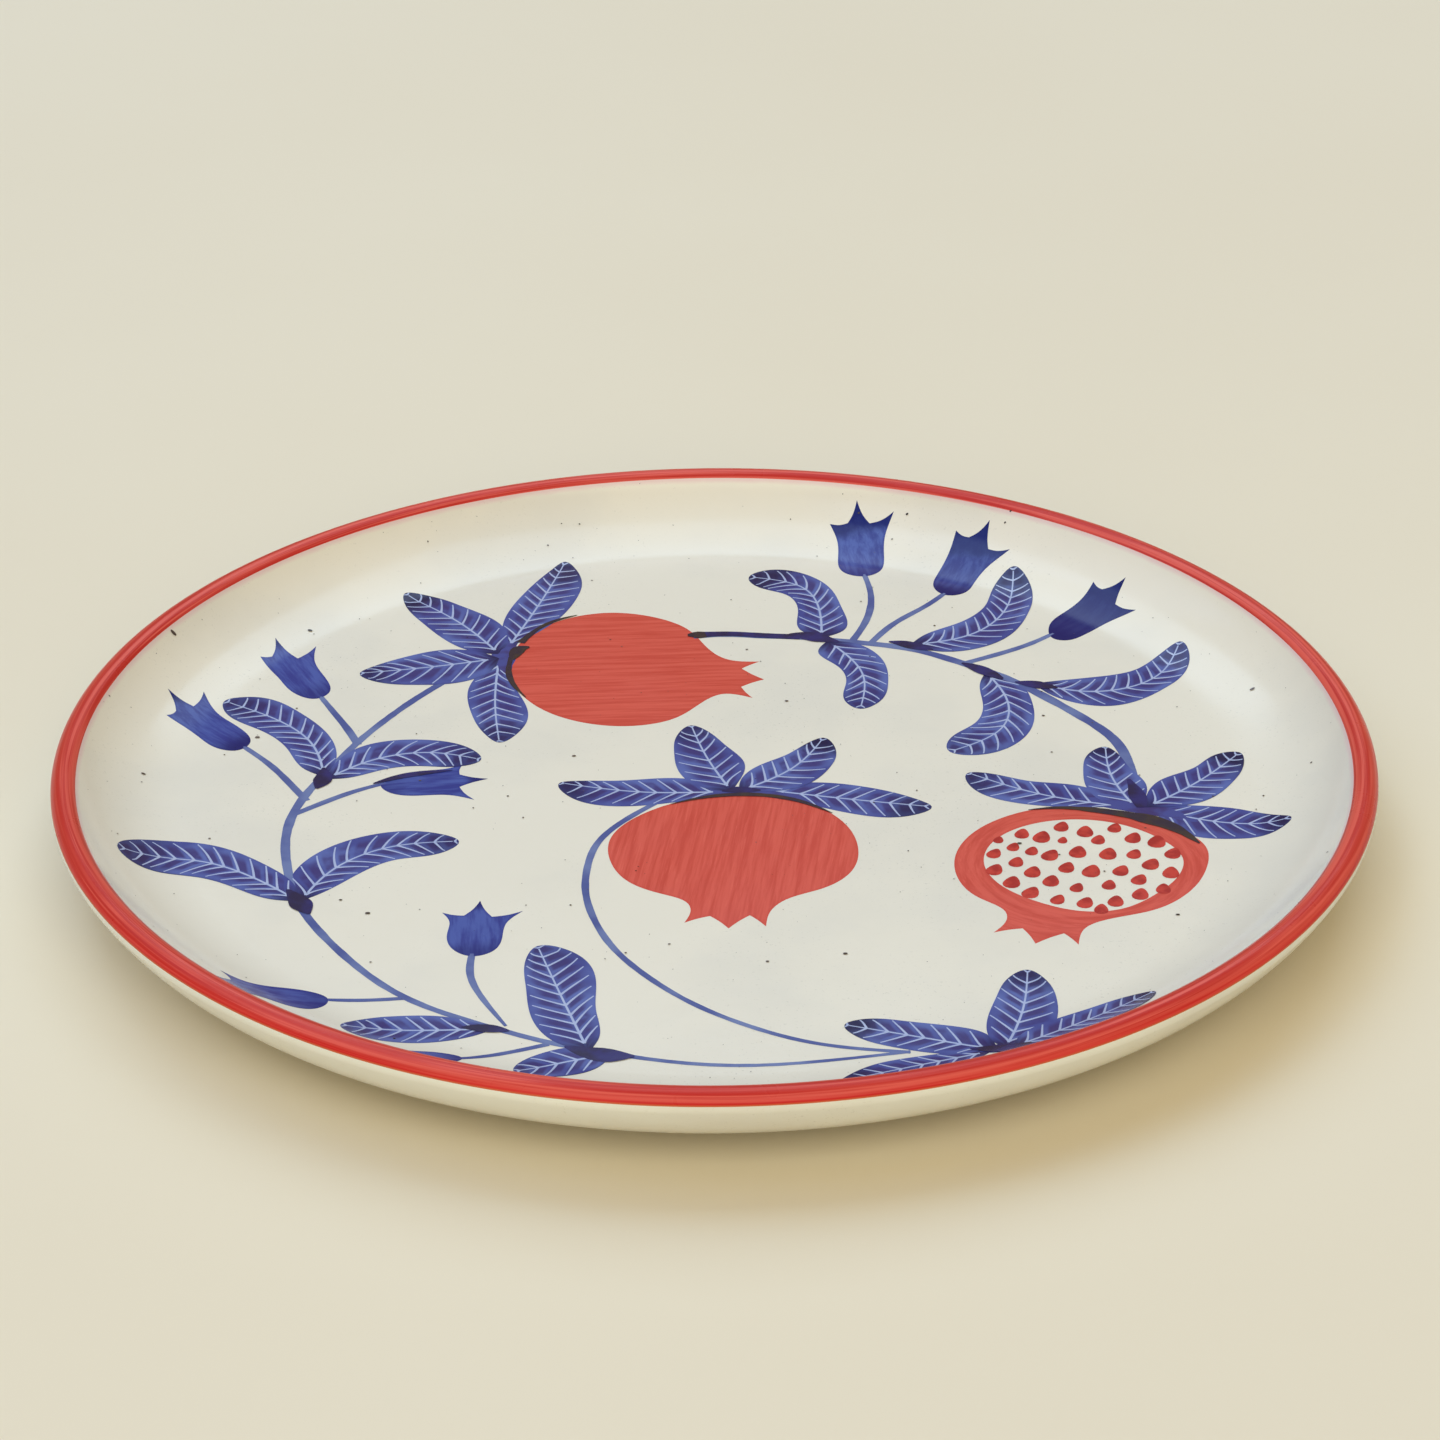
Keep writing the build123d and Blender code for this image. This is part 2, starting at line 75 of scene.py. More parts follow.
# %% Sizes in metres
MM = 0.001
plate_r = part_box("white_back_glaze")[1][0]
plate_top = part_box("red_rim_band")[1][2]
glaze = plate_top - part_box("clay_body")[1][2]
floor_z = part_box("left_pomegranate")[1][2]
underside_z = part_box("foot_recess_glaze")[1][2] - glaze
foot_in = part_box("foot_recess_glaze")[1][0] - glaze
lip = 2.8 * MM
foot_width = 5.0 * MM
foot_fillet = 1.8 * MM
foot_rounding = 0.8 * MM
bare_foot = 1.2 * MM
wall_slope = 55.0
back_slope = 63.0
band_edge = 11.0

lip_r = plate_r - lip
lip_z = plate_top - lip
foot_out = foot_in + foot_width


def bend_between(rise, slope):
    """The radius of an arc that climbs by a height while it turns from level to a slope."""
    return rise / (1 - math.cos(math.radians(slope)))


wall_bend = bend_between(lip_z + lip * math.cos(math.radians(wall_slope)) - floor_z, wall_slope)
wall_r = lip_r - (lip + wall_bend) * math.sin(math.radians(wall_slope))
wall_z = floor_z + wall_bend
wall_top_r = lip_r - lip * math.sin(math.radians(wall_slope))
back_bend = bend_between(lip_z - lip * math.cos(math.radians(back_slope)) - underside_z, back_slope)
back_r = lip_r - (back_bend - lip) * math.sin(math.radians(back_slope))
back_z = underside_z + back_bend
print(f"plate {2 * plate_r:.4f} across, flat floor to {wall_r:.4f}, wall to {wall_top_r:.4f}")

# %% [markdown]
# ## Node trees written as sentences
# A material or a Geometry Nodes tree is a graph, and a graph is hard to read as a list of links. This
# class wraps one socket, so that sums on sockets look like sums on numbers. Each operator adds one
# Math node. The other class is the page they are written on, and its one method adds any node at all.


# %% Signal and Page
class Signal:
    """A socket that arithmetic works on."""

    def __init__(self, page, socket):
        self.page = page
        self.socket = socket

    def maths(self, operation, *others):
        return self.page.node("ShaderNodeMath", {"operation": operation}, *others)

    def __add__(self, other):
        return self.maths("ADD", self, other)

    def __sub__(self, other):
        return self.maths("SUBTRACT", self, other)

    def __rsub__(self, other):
        return self.maths("SUBTRACT", other, self)

    def __mul__(self, other):
        return self.maths("MULTIPLY", self, other)

    def __truediv__(self, other):
        return self.maths("DIVIDE", self, other)

    def __rtruediv__(self, other):
        return self.maths("DIVIDE", other, self)

    def __pow__(self, other):
        return self.maths("POWER", self, other)

    def __gt__(self, other):
        return self.maths("GREATER_THAN", self, other)

    def __abs__(self):
        return self.maths("ABSOLUTE", self)

    __radd__ = __add__
    __rmul__ = __mul__

    def fraction(self):
        return self.maths("FRACT", self)

    def up_to(self, other):
        return self.maths("MINIMUM", self, other)

    def at_least(self, other):
        return self.maths("MAXIMUM", self, other)

    def step(self, low, high):
        """0 below low, 1 above high, and a smooth rise between them. It falls if low is the larger."""
        settings = {"interpolation_type": "SMOOTHSTEP"}
        inputs = {"Value": self, "From Min": low, "From Max": high, "To Min": 0.0, "To Max": 1.0}
        if not isinstance(low, Signal) and low > high:
            inputs.update({"From Min": high, "From Max": low, "To Min": 1.0, "To Max": 0.0})
        return self.page.node("ShaderNodeMapRange", settings, **inputs)


class Page:
    """A node tree that is being written."""

    def __init__(self, tree):
        self.tree = tree

    def node(self, kind, settings=None, *inputs, out=0, **named):
        """Adds a node and returns one of its outputs. Inputs go by position, by name or by identifier."""
        made = self.tree.nodes.new(kind)
        for name, value in (settings or {}).items():
            setattr(made, name, value)
        for place, value in list(enumerate(inputs)) + list(named.items()):
            self.connect(self.find(made.inputs, place), value)
        if not len(made.outputs):
            return made
        return Signal(self, self.find(made.outputs, out))

    def find(self, sockets, place):
        if isinstance(place, int):
            return sockets[place]
        for socket in sockets:
            if place in (socket.identifier, socket.name) and socket.enabled:
                return socket
        raise KeyError(f"{place} is not one of {[s.identifier for s in sockets]}")

    def connect(self, socket, value):
        if isinstance(value, Signal):
            self.tree.links.new(value.socket, socket)
        else:
            socket.default_value = value

    def outputs(self, signal):
        """Another output of the node that a signal comes from."""
        return lambda place: Signal(self, self.find(signal.socket.node.outputs, place))

    def vector(self, x=0.0, y=0.0, z=0.0):
        return self.node("ShaderNodeCombineXYZ", None, x, y, z)

    def parts(self, vector):
        """The x, y and z of a vector."""
        split = self.node("ShaderNodeSeparateXYZ", None, vector)
        return [self.outputs(split)(place) for place in (0, 1, 2)]

    def mix(self, amount, first, second):
        """Two colours mixed, all first at 0 and all second at 1."""
        inputs = {"Factor_Float": amount, "A_Color": first, "B_Color": second}
        return self.node("ShaderNodeMix", {"data_type": "RGBA"}, out="Result_Color", **inputs)

    def painted(self, name):
        """A number that a mesh carries, as a material reads it."""
        return self.node("ShaderNodeAttribute", {"attribute_name": name}, out="Fac")

    def stored(self, name, kind="FLOAT"):
        """A value that a mesh carries, as a Geometry Nodes tree reads it."""
        return self.node("GeometryNodeInputNamedAttribute", {"data_type": kind}, Name=name)

    def chance(self, low, high, seed):
        """A random number for each point, the same on every run."""
        inputs = {"Min_001": low, "Max_001": high, "Seed": seed}
        return self.node("FunctionNodeRandomValue", {"data_type": "FLOAT"}, out="Value_001", **inputs)


print("node writing is ready")

# %% [markdown]
# ## Geometry Nodes trees and plain meshes
# A tree takes a simple mesh in and gives a finished one out. Its sizes are named inputs, so that one
# tree serves many pieces. The export wants plain meshes, so each result is turned into one at once,
# and the modifier goes away with the object that carried it.


# %% Trees and pieces
GEOMETRY = "NodeSocketGeometry"
kinds = {float: "NodeSocketFloat", int: "NodeSocketInt", str: "NodeSocketMaterial"}


def geometry_tree(name, sizes):
    """A new Geometry Nodes tree with named inputs. Returns its page and its inputs by name."""
    tree = bpy.data.node_groups.new(name, "GeometryNodeTree")
    tree.interface.new_socket("Geometry", in_out="INPUT", socket_type=GEOMETRY)
    for label, default in sizes.items():
        socket = tree.interface.new_socket(label, in_out="INPUT", socket_type=kinds[type(default)])
        if not isinstance(default, str):
            socket.default_value = default
    tree.interface.new_socket("Material", in_out="INPUT", socket_type="NodeSocketMaterial")
    tree.interface.new_socket("Geometry", in_out="OUTPUT", socket_type=GEOMETRY)
    page = Page(tree)
    entry = tree.nodes.new("NodeGroupInput")
    given = {socket.name: Signal(page, socket) for socket in entry.outputs if socket.name}
    return page, given


def finish_tree(page, mesh, given):
    """Ends a tree as plain, smooth geometry with its material."""
    plain = page.node("GeometryNodeRealizeInstances", None, mesh)
    dressed = page.node("GeometryNodeSetMaterial", None, Geometry=plain, Material=given["Material"])
    page.node("NodeGroupOutput", None, dressed)
    return page.tree


def grow(name, source, tree, material, **sizes):
    """Runs a tree on a mesh and returns the plain mesh that comes out."""
    carrier = bpy.data.objects.new(name + ".carrier", source)
    bpy.context.scene.collection.objects.link(carrier)
    modifier = carrier.modifiers.new("grow", "NODES")
    modifier.node_group = tree
    for socket in tree.interface.items_tree:
        if socket.in_out == "INPUT" and socket.name in sizes:
            modifier[socket.identifier] = sizes[socket.name]
        elif socket.in_out == "INPUT" and socket.name == "Material":
            modifier[socket.identifier] = material
    bpy.context.view_layer.update()
    depsgraph = bpy.context.evaluated_depsgraph_get()
    grown = carrier.evaluated_get(depsgraph)
    mesh = bpy.data.meshes.new_from_object(grown, preserve_all_data_layers=True, depsgraph=depsgraph)
    bpy.data.objects.remove(carrier)
    mesh.name = name
    return mesh


def signed_volume(mesh):
    """Positive when the faces of a closed mesh point outwards."""
    mesh.calc_loop_triangles()
    points = np.empty(len(mesh.vertices) * 3)
    mesh.vertices.foreach_get("co", points)
    corners = np.empty(len(mesh.loop_triangles) * 3, dtype=np.int32)
    mesh.loop_triangles.foreach_get("vertices", corners)
    a, b, c = points.reshape(-1, 3)[corners.reshape(-1, 3)].transpose(1, 0, 2)
    return float(np.einsum("ij,ij->i", a, np.cross(b, c)).sum() / 6)


def place(name, mesh, slot, *nodes):
    """Makes a mesh a piece of the plate: named, riding on it, and standing for its model nodes."""
    if signed_volume(mesh) < 0:
        mesh.flip_normals()
    piece = bpy.data.objects.new(name, mesh)
    bpy.context.scene.collection.objects.link(piece)
    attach(piece, "root")
    if nodes:
        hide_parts(*nodes)
    return piece


# %% [markdown]
# ## A material for glazed ware
# Fired glaze is a sheet of glass over colour. Its gloss is the same everywhere, and only the colour
# under it changes. It is never quite flat: it flows a little as it melts, which bends reflections.
# So one function gives every glaze its glass, and each colour is a function that paints under it.


# %% Colours and the glass
def colour(*screen):
    """A colour named by its screen values from 0 to 255, as the shader's linear numbers."""
    linear = [((c / 255 + 0.055) / 1.055) ** 2.4 if c > 10 else c / 255 / 12.92 for c in screen]
    return (*linear, 1.0)


def noise(page, where, scale, detail=3.0, roughness=0.5, out="Fac"):
    """Soft random cloud over a place, about one lump for each 1 / scale metres."""
    inputs = {"Vector": where, "Scale": scale, "Detail": detail, "Roughness": roughness}
    return page.node("ShaderNodeTexNoise", None, out=out, **inputs)


def stretched(page, where, angle, along, across):
    """A place turned about the plate's axis and scaled unevenly, so that noise on it makes streaks."""
    settings = {"vector_type": "POINT"}
    turned = page.node("ShaderNodeMapping", settings, Vector=where, Rotation=(0, 0, -math.radians(angle)))
    return page.node("ShaderNodeMapping", settings, Vector=turned, Scale=(along, across, across))


def drifting(first, second, scale, detail=3.0, edges=None):
    """Paint that drifts from one colour to another. edges is the stretch of the cloud that is used."""

    def paint(page, here):
        cloud = noise(page, here, scale, detail)
        return page.mix(cloud.step(*edges) if edges else cloud, first, second)

    return paint


glass_ior = 1.5
ripple_depth = 0.5 * MM
paint_gloss = 0.22


def glazed(name, paint, smooth=0.12, rough=0.22, ripple=0.18, gloss=0.32):
    """A glazed finish. paint is a function of the page and the place that returns a colour."""
    material = bpy.data.materials.new(name)
    material.use_nodes = True
    page = Page(material.node_tree)
    page.tree.nodes.clear()
    here = page.node("ShaderNodeTexCoord", None, out="Object")
    sheen = noise(page, here, 60.0, 4.0)
    flow = noise(page, here, 38.0, 2.0, 0.4) + 0.12 * noise(page, here, 420.0, 1.0)
    bump = page.node("ShaderNodeBump", None, Strength=ripple, Distance=ripple_depth, Height=flow)
    inputs = {"Base Color": paint(page, here), "Roughness": smooth + (rough - smooth) * sheen}
    shader = page.node("ShaderNodeBsdfPrincipled", None, Normal=bump, **inputs)
    shader.socket.node.inputs["IOR"].default_value = glass_ior
    shader.socket.node.inputs["Specular IOR Level"].default_value = gloss
    page.node("ShaderNodeOutputMaterial", None, shader)
    return material


print("glaze recipe is ready")

# %% [markdown]
# ## White glaze
# The white is warm, and cloudy where it lies thicker. Iron in the clay comes through as a fine dust of
# grey dots. Next to the red line a breath of pink has crept into it. The back has the same glaze over
# more of the clay's own colour, so it is creamier.


# %% White glaze, front and back
white = colour(233, 228, 214)
cloud = colour(220, 217, 207)
cream = colour(232, 232, 223)
blush = colour(226, 176, 188)
iron_dust = colour(150, 148, 138)


def from_axis(page, where):
    """How far a place is from the plate's axis."""
    x, y, z = page.parts(where)
    return (x * x + y * y) ** 0.5


def dusted(page, here, base):
    """A glaze with soft clouds and a dust of fine grey dots."""
    clouds = noise(page, here, 24.0, 4.0, 0.55).step(0.42, 0.72)
    cloudy = page.mix(0.55 * clouds, base, cloud)
    dust = noise(page, here, 1500.0, 2.0, 0.6).step(0.62, 0.74)
    patches = noise(page, here, 30.0, 3.0).step(0.35, 0.75)
    return page.mix(0.3 * dust * patches, cloudy, iron_dust)


def paint_front(page, here):
    base = dusted(page, here, white)
    fray = 0.5 * MM * (noise(page, here, 160.0, 3.0) - 0.5)
    edge = (from_axis(page, here) + fray).step(wall_top_r - 0.9 * MM, wall_top_r - 0.1 * MM)
    return page.mix(0.5 * edge, base, blush)


def paint_back(page, here):
    return dusted(page, here, cream)


white_glaze = glazed("white_glaze", paint_front)
cream_glaze = glazed("cream_glaze", paint_back, 0.1, 0.2)
print("white glazes:", white_glaze.name, cream_glaze.name)

# %% [markdown]
# ## Red line
# The line round the lip is laid with the plate turning under a loaded brush. Its hairs leave streaks
# that run round the rim, dark where the colour is thick. It thins to orange at its outer edge. Its
# outer face is painted a darker, fuller red than its top, as painted shade on the side turned from the
# lamps. The angle round the lip's own section says where across the line a point is.


# %% Red line
coral = colour(222, 94, 82)
deep_red = colour(192, 50, 44)
orange = colour(200, 104, 66)
# A darker red for painted shade on the lip's outer face
shaded_lip_red = colour(208, 34, 36)
pool_angle = 1.15


def paint_rim(page, here):
    x, y, z = page.parts(here)
    r = (x * x + y * y) ** 0.5
    across = page.node("ShaderNodeMath", {"operation": "ARCTAN2"}, z - lip_z, r - lip_r)
    wobble = 0.16 * (noise(page, here, 22.0, 2.0) - 0.5)
    hairs = noise(page, page.vector(x * 14.0, y * 14.0, (across + wobble) * 4.2), 1.0, 4.0, 0.6)
    laid = page.mix(hairs.step(0.38, 0.62), coral, deep_red)
    patches = noise(page, here, 30.0, 2.0).step(0.3, 0.55)
    pooled = abs(across + wobble - pool_angle).step(0.28, 0.06) * patches
    streaked = page.mix(0.75 * pooled, laid, deep_red)
    # Painted shade: the outer face of the lip goes to a darker, fuller red
    outer = (across + wobble * 0.4).step(0.95, 0.35)
    lip_face_shaded = page.mix(0.6 * outer, streaked, shaded_lip_red)
    return page.mix((across + 0.3 * wobble).step(0.36, 0.22), lip_face_shaded, orange)


rim_red = glazed("rim_red", paint_rim, 0.22, 0.36, gloss=0.14)
print("red line:", rim_red.name)

# %% [markdown]
# ## Bare clay
# The foot ring stands in the kiln, so it has no glaze, or it would fuse to the shelf. What shows there
# is dry fired clay: matte, sandy and a little stained.


# %% Bare clay
def bare_clay_finish():
    material = bpy.data.materials.new("bare_clay")
    material.use_nodes = True
    page = Page(material.node_tree)
    page.tree.nodes.clear()
    here = page.node("ShaderNodeTexCoord", None, out="Object")
    stain = noise(page, here, 45.0, 4.0)
    grit = noise(page, here, 2400.0, 2.0, 0.7)
    stained = page.mix(stain, colour(214, 190, 152), colour(188, 156, 116))
    speckled = page.mix(grit.step(0.6, 0.72) * 0.6, stained, colour(120, 92, 66))
    bump = page.node("ShaderNodeBump", None, Strength=0.5, Distance=0.1 * MM, Height=grit)
    inputs = {"Base Color": speckled, "Roughness": 0.78 + 0.15 * stain, "Normal": bump}
    shader = page.node("ShaderNodeBsdfPrincipled", None, **inputs)
    page.node("ShaderNodeOutputMaterial", None, shader)
    return material


bare_clay = bare_clay_finish()
print("clay:", bare_clay.name)

# %% [markdown]
# ## Turning the body and its glazes
# A potter's wheel is a rule: one section, turned. Blender's Spin tool or a Screw modifier would do it.
# A Geometry Nodes tree says it most plainly. A grid has one column for each step round the axis, and
# each of its points goes to a point of the section, turned by its column's angle. Where the first and
# last columns meet, and where a section reaches the axis, the points are merged, so it is closed.


# %% The wheel
weld = 0.0005 * MM


def write_wheel():
    page, given = geometry_tree("wheel", {"Steps": 288, "Corner": math.radians(40.0)})
    section = given["Geometry"]
    rows = page.node("GeometryNodeAttributeDomainSize", None, section, out="Point Count")
    columns = given["Steps"] + 1
    grid = page.node("GeometryNodeMeshGrid", None, 1.0, 1.0, columns, rows)
    index = page.node("GeometryNodeInputIndex")
    column = page.node("ShaderNodeMath", {"operation": "FLOOR"}, index / rows)
    row = index - column * rows
    inputs = {"Geometry": section, "Value": page.node("GeometryNodeInputPosition"), "Index": row}
    point = page.node("GeometryNodeSampleIndex", {"data_type": "FLOAT_VECTOR"}, **inputs)
    turn = column / given["Steps"] * (2 * math.pi)
    turned = page.node("ShaderNodeVectorRotate", {"rotation_type": "Z_AXIS"}, Vector=point, Angle=turn)
    form = page.node("GeometryNodeSetPosition", None, Geometry=grid, Position=turned)
    closed = page.node("GeometryNodeMergeByDistance", None, Geometry=form, Distance=weld)
    faces = page.node("GeometryNodeSetShadeSmooth", {"domain": "FACE"}, Geometry=closed)
    corner = page.node("GeometryNodeInputMeshEdgeAngle") > given["Corner"]
    sharp = {"Geometry": faces, "Selection": corner, "Shade Smooth": False}
    edges = page.node("GeometryNodeSetShadeSmooth", {"domain": "EDGE"}, **sharp)
    return finish_tree(page, edges, given)


wheel = write_wheel()


def arc(centre_r, centre_z, radius, start, sweep, degrees=2.5):
    """Points of an arc in the section, from a start angle through a sweep."""
    steps = max(2, math.ceil(abs(sweep) / degrees))
    angles = [math.radians(start + sweep * i / steps) for i in range(steps + 1)]
    return [(centre_r + radius * math.cos(a), centre_z + radius * math.sin(a)) for a in angles]


def run(start, end, steps=1):
    """Points along a straight stretch of the section."""
    return [tuple(np.add(start, np.subtract(end, start) * i / steps)) for i in range(steps + 1)]


def turn(name, section, material, slot, *nodes):
    """Turns a section into a piece."""
    points = [(r, 0.0, z) for r, z in section]
    line = bpy.data.meshes.new(name + ".section")
    line.from_pydata(points, [(i, i + 1) for i in range(len(points) - 1)], [])
    mesh = grow(name, line, wheel, material)
    place(name, mesh, slot, *nodes)
    print(f"{name}: {len(mesh.vertices)} points, {len(mesh.polygons)} faces")


# %% The five turned pieces
inner_top = underside_z + glaze
fillet_z = underside_z - foot_fillet
out_fillet_r = foot_out + foot_fillet
in_fillet_r = foot_in - foot_fillet
clay_in = foot_in + glaze
clay_out = foot_out - glaze

clay = [
    *run((0, inner_top), (in_fillet_r, inner_top), 8),
    *arc(in_fillet_r, fillet_z, foot_fillet + glaze, 90, -90, 10)[1:],
    *arc(clay_in + foot_rounding, foot_rounding, foot_rounding, 180, 90, 10),
    *arc(clay_out - foot_rounding, foot_rounding, foot_rounding, 270, 90, 10),
    *arc(out_fillet_r, fillet_z, foot_fillet + glaze, 180, -90, 10),
    *arc(back_r, back_z, back_bend - glaze, -90, back_slope)[1:],
    *arc(lip_r, lip_z, lip - glaze, back_slope - 90, 180 + wall_slope - back_slope, 6)[1:],
    *arc(wall_r, wall_z, wall_bend + glaze, wall_slope - 90, -wall_slope)[1:],
    *run((wall_r, floor_z - glaze), (0, floor_z - glaze), 8)[1:],
]
turn("clay_body_turned", clay, bare_clay, "bare_clay", "clay_body")

front = [
    *run((0, floor_z), (wall_r, floor_z), 12),
    *arc(wall_r, wall_z, wall_bend, -90, wall_slope, 1.0)[1:],
    *arc(wall_r, wall_z, wall_bend + glaze, wall_slope - 90, -wall_slope),
    *run((wall_r, floor_z - glaze), (0, floor_z - glaze), 4)[1:],
]
turn("front_glaze", front, white_glaze, "white_glaze", "white_front_glaze")

rim_sweep = 90 + wall_slope - band_edge
rim = [
    *arc(lip_r, lip_z, lip, band_edge, rim_sweep, 3),
    *arc(lip_r, lip_z, lip - glaze, band_edge + rim_sweep, -rim_sweep, 6),
]
turn("rim_line", [*rim, rim[0]], rim_red, "rim_red", "red_rim_band")

back = [
    *arc(lip_r, lip_z, lip, band_edge, back_slope - 90 - band_edge, 3),
    *arc(back_r, back_z, back_bend, back_slope - 90, -back_slope, 1.5)[1:],
    *run((back_r, underside_z), (out_fillet_r, underside_z), 4)[1:],
    *arc(out_fillet_r, fillet_z, foot_fillet, 90, 90, 10)[1:],
    (foot_out, bare_foot),
    (clay_out, bare_foot),
    *arc(out_fillet_r, fillet_z, foot_fillet + glaze, 180, -90, 10),
    *arc(back_r, back_z, back_bend - glaze, -90, back_slope),
    *arc(lip_r, lip_z, lip - glaze, back_slope - 90, 90 - back_slope + band_edge, 3)[1:],
]
turn("back_glaze", [*back, back[0]], cream_glaze, "white_glaze", "white_back_glaze")

recess = [
    *run((0, underside_z), (in_fillet_r, underside_z), 8),
    *arc(in_fillet_r, fillet_z, foot_fillet, 90, -90, 10)[1:],
    (foot_in, bare_foot),
    (clay_in, bare_foot),
    *arc(in_fillet_r, fillet_z, foot_fillet + glaze, 0, 90, 10),
    (0, inner_top),
]
turn("recess_glaze", recess, cream_glaze, "white_glaze", "foot_recess_glaze")

# %% [markdown]
# ## Laying paint on the plate
# Paint has next to no thickness, but it must follow the floor and climb the wall. Each stroke is drawn
# flat, as seen from above, and laid down: every point takes the height of the glaze under it and a few
# hundredths of a millimetre more. Its shading normals are the glaze's own, so that one reflection runs
# over white and colour alike, as it does on a fired plate.


# %% The lie of the glaze
def glaze_height(r):
    """Height of the front glaze at a distance from the axis."""
    out = np.clip(np.asarray(r, float) - wall_r, 0, wall_top_r - wall_r)
    return wall_z - np.sqrt(wall_bend**2 - out**2)


def glaze_normal(points):
    """The way the front glaze faces, under each point."""
    r = np.hypot(points[:, 0], points[:, 1])
    out = np.clip(r - wall_r, 0, wall_top_r - wall_r) / wall_bend
    inwards = -out / np.maximum(r, 1e-9)
    return np.stack([points[:, 0] * inwards, points[:, 1] * inwards, np.sqrt(1 - out**2)], axis=1)


def share_gloss(mesh):
    """Gives a laid mesh the glaze's own normals."""
    if signed_volume(mesh) < 0:
        mesh.flip_normals()
    points = np.empty(len(mesh.vertices) * 3)
    mesh.vertices.foreach_get("co", points)
    mesh.shade_smooth()
    mesh.normals_split_custom_set_from_vertices(glaze_normal(points.reshape(-1, 3)).tolist())
    return mesh


def smooth_line(points, count, closed=False):
    """A smooth line through points, as a natural cubic in the distance between them."""
    given = np.array(points, float)
    if closed:
        given = np.vstack([given[-3:], given, given[:4]])
    at = np.concatenate([[0.0], np.cumsum(np.linalg.norm(np.diff(given, axis=0), axis=1))])
    gap = np.diff(at)
    rise = np.diff(given, axis=0) / gap[:, None]
    system = np.eye(len(at))
    pull = np.zeros_like(given)
    for i in range(1, len(at) - 1):
        system[i, i - 1 : i + 2] = gap[i - 1], 2 * (gap[i - 1] + gap[i]), gap[i]
        pull[i] = 6 * (rise[i] - rise[i - 1])
    curve = np.linalg.solve(system, pull)
    if closed:
        asked = np.linspace(at[3], at[-4], count, endpoint=False)
    elif np.ndim(count):
        asked = np.interp(count, np.linspace(0, 1, len(at)), at)
    else:
        asked = np.linspace(0, at[-1], count)
    i = np.clip(np.searchsorted(at, asked, side="right") - 1, 0, len(gap) - 1)
    a, b, h = (asked - at[i])[:, None], (at[i + 1] - asked)[:, None], gap[i][:, None]
    bends = (curve[i + 1] * a**3 + curve[i] * b**3) / (6 * h)
    lines = (given[i + 1] / h - curve[i + 1] * h / 6) * a + (given[i] / h - curve[i] * h / 6) * b
    return bends + lines


print("floor height", float(glaze_height(0)), "wall top", float(glaze_height(wall_top_r)))

# %% [markdown]
# ## Patches of colour
# A fruit or a tulip is one filled outline. The outline is a smooth line, so it could be a flat curve,
# but a flat face can't bend up the wall. So the outline is filled with a fine net of triangles, and
# every point of the net is laid on the glaze. Points just inside the edge carry how far in they are,
# because a brush leaves more colour at the edge of a stroke than in its middle.


# %% Laying a patch
net = 1.6 * MM
edge_margin = 0.3 * MM
edge_rows = (-0.7 * MM, -0.35 * MM, 0.35 * MM, 0.7 * MM)
paint_sink = 0.15 * MM


def inside(points, outline):
    """Which points are inside a closed outline."""
    x, y = points[:, 0][:, None], points[:, 1][:, None]
    x1, y1 = outline.T
    x2, y2 = np.roll(outline, -1, axis=0).T
    spans = (y1 > y) != (y2 > y)
    slope = (x2 - x1) / np.where(y2 == y1, 1e-12, y2 - y1)
    return (spans & (x < x1 + (y - y1) * slope)).sum(axis=1) % 2 == 1


def distance_to(points, outline):
    """How far points are from an outline's sides."""
    start, side = outline, np.roll(outline, -1, axis=0) - outline
    away = points[:, None] - start[None]
    share = np.clip((away * side).sum(-1) / np.maximum((side * side).sum(-1), 1e-18), 0, 1)
    return np.linalg.norm(away - share[..., None] * side, axis=-1).min(axis=1)


def filled(outline, holes=()):
    """A flat net of triangles that fills an outline: its points, its triangles and the depth inside."""
    edges_of = [outline, *holes]
    low, high = outline.min(axis=0), outline.max(axis=0)
    grid = np.stack(np.meshgrid(np.arange(low[0], high[0], net), np.arange(low[1], high[1], net)), -1)
    loose = [grid.reshape(-1, 2)]
    for edge in edges_of:
        ahead, behind = np.roll(edge, -1, axis=0), np.roll(edge, 1, axis=0)
        along = (ahead - behind) / np.linalg.norm(ahead - behind, axis=1)[:, None]
        side = np.stack([-along[:, 1], along[:, 0]], axis=1)
        loose += [edge + side * step for step in edge_rows]
    loose = np.vstack(loose)
    depth = np.min([distance_to(loose, edge) for edge in edges_of], axis=0)
    wanted = inside(loose, outline) & (depth > edge_margin)
    for hole in holes:
        wanted &= ~inside(loose, hole)
    points = [Vector(p) for p in np.vstack([*edges_of, loose[wanted]])]
    sides = []
    first = 0
    for edge in edges_of:
        sides += [(first + i, first + (i + 1) % len(edge)) for i in range(len(edge))]
        first += len(edge)
    spread, _, triangles, _, _, _ = geometry.delaunay_2d_cdt(points, sides, [], 0, 1e-7)
    spread = np.array([tuple(p) for p in spread])
    middles = spread[np.array(triangles)].mean(axis=1)
    kept = inside(middles, outline)
    for hole in holes:
        kept &= ~inside(middles, hole)
    triangles = [t for t, keep in zip(triangles, kept) if keep]
    depth = np.min([distance_to(spread, edge) for edge in edges_of], axis=0)
    return spread, triangles, depth


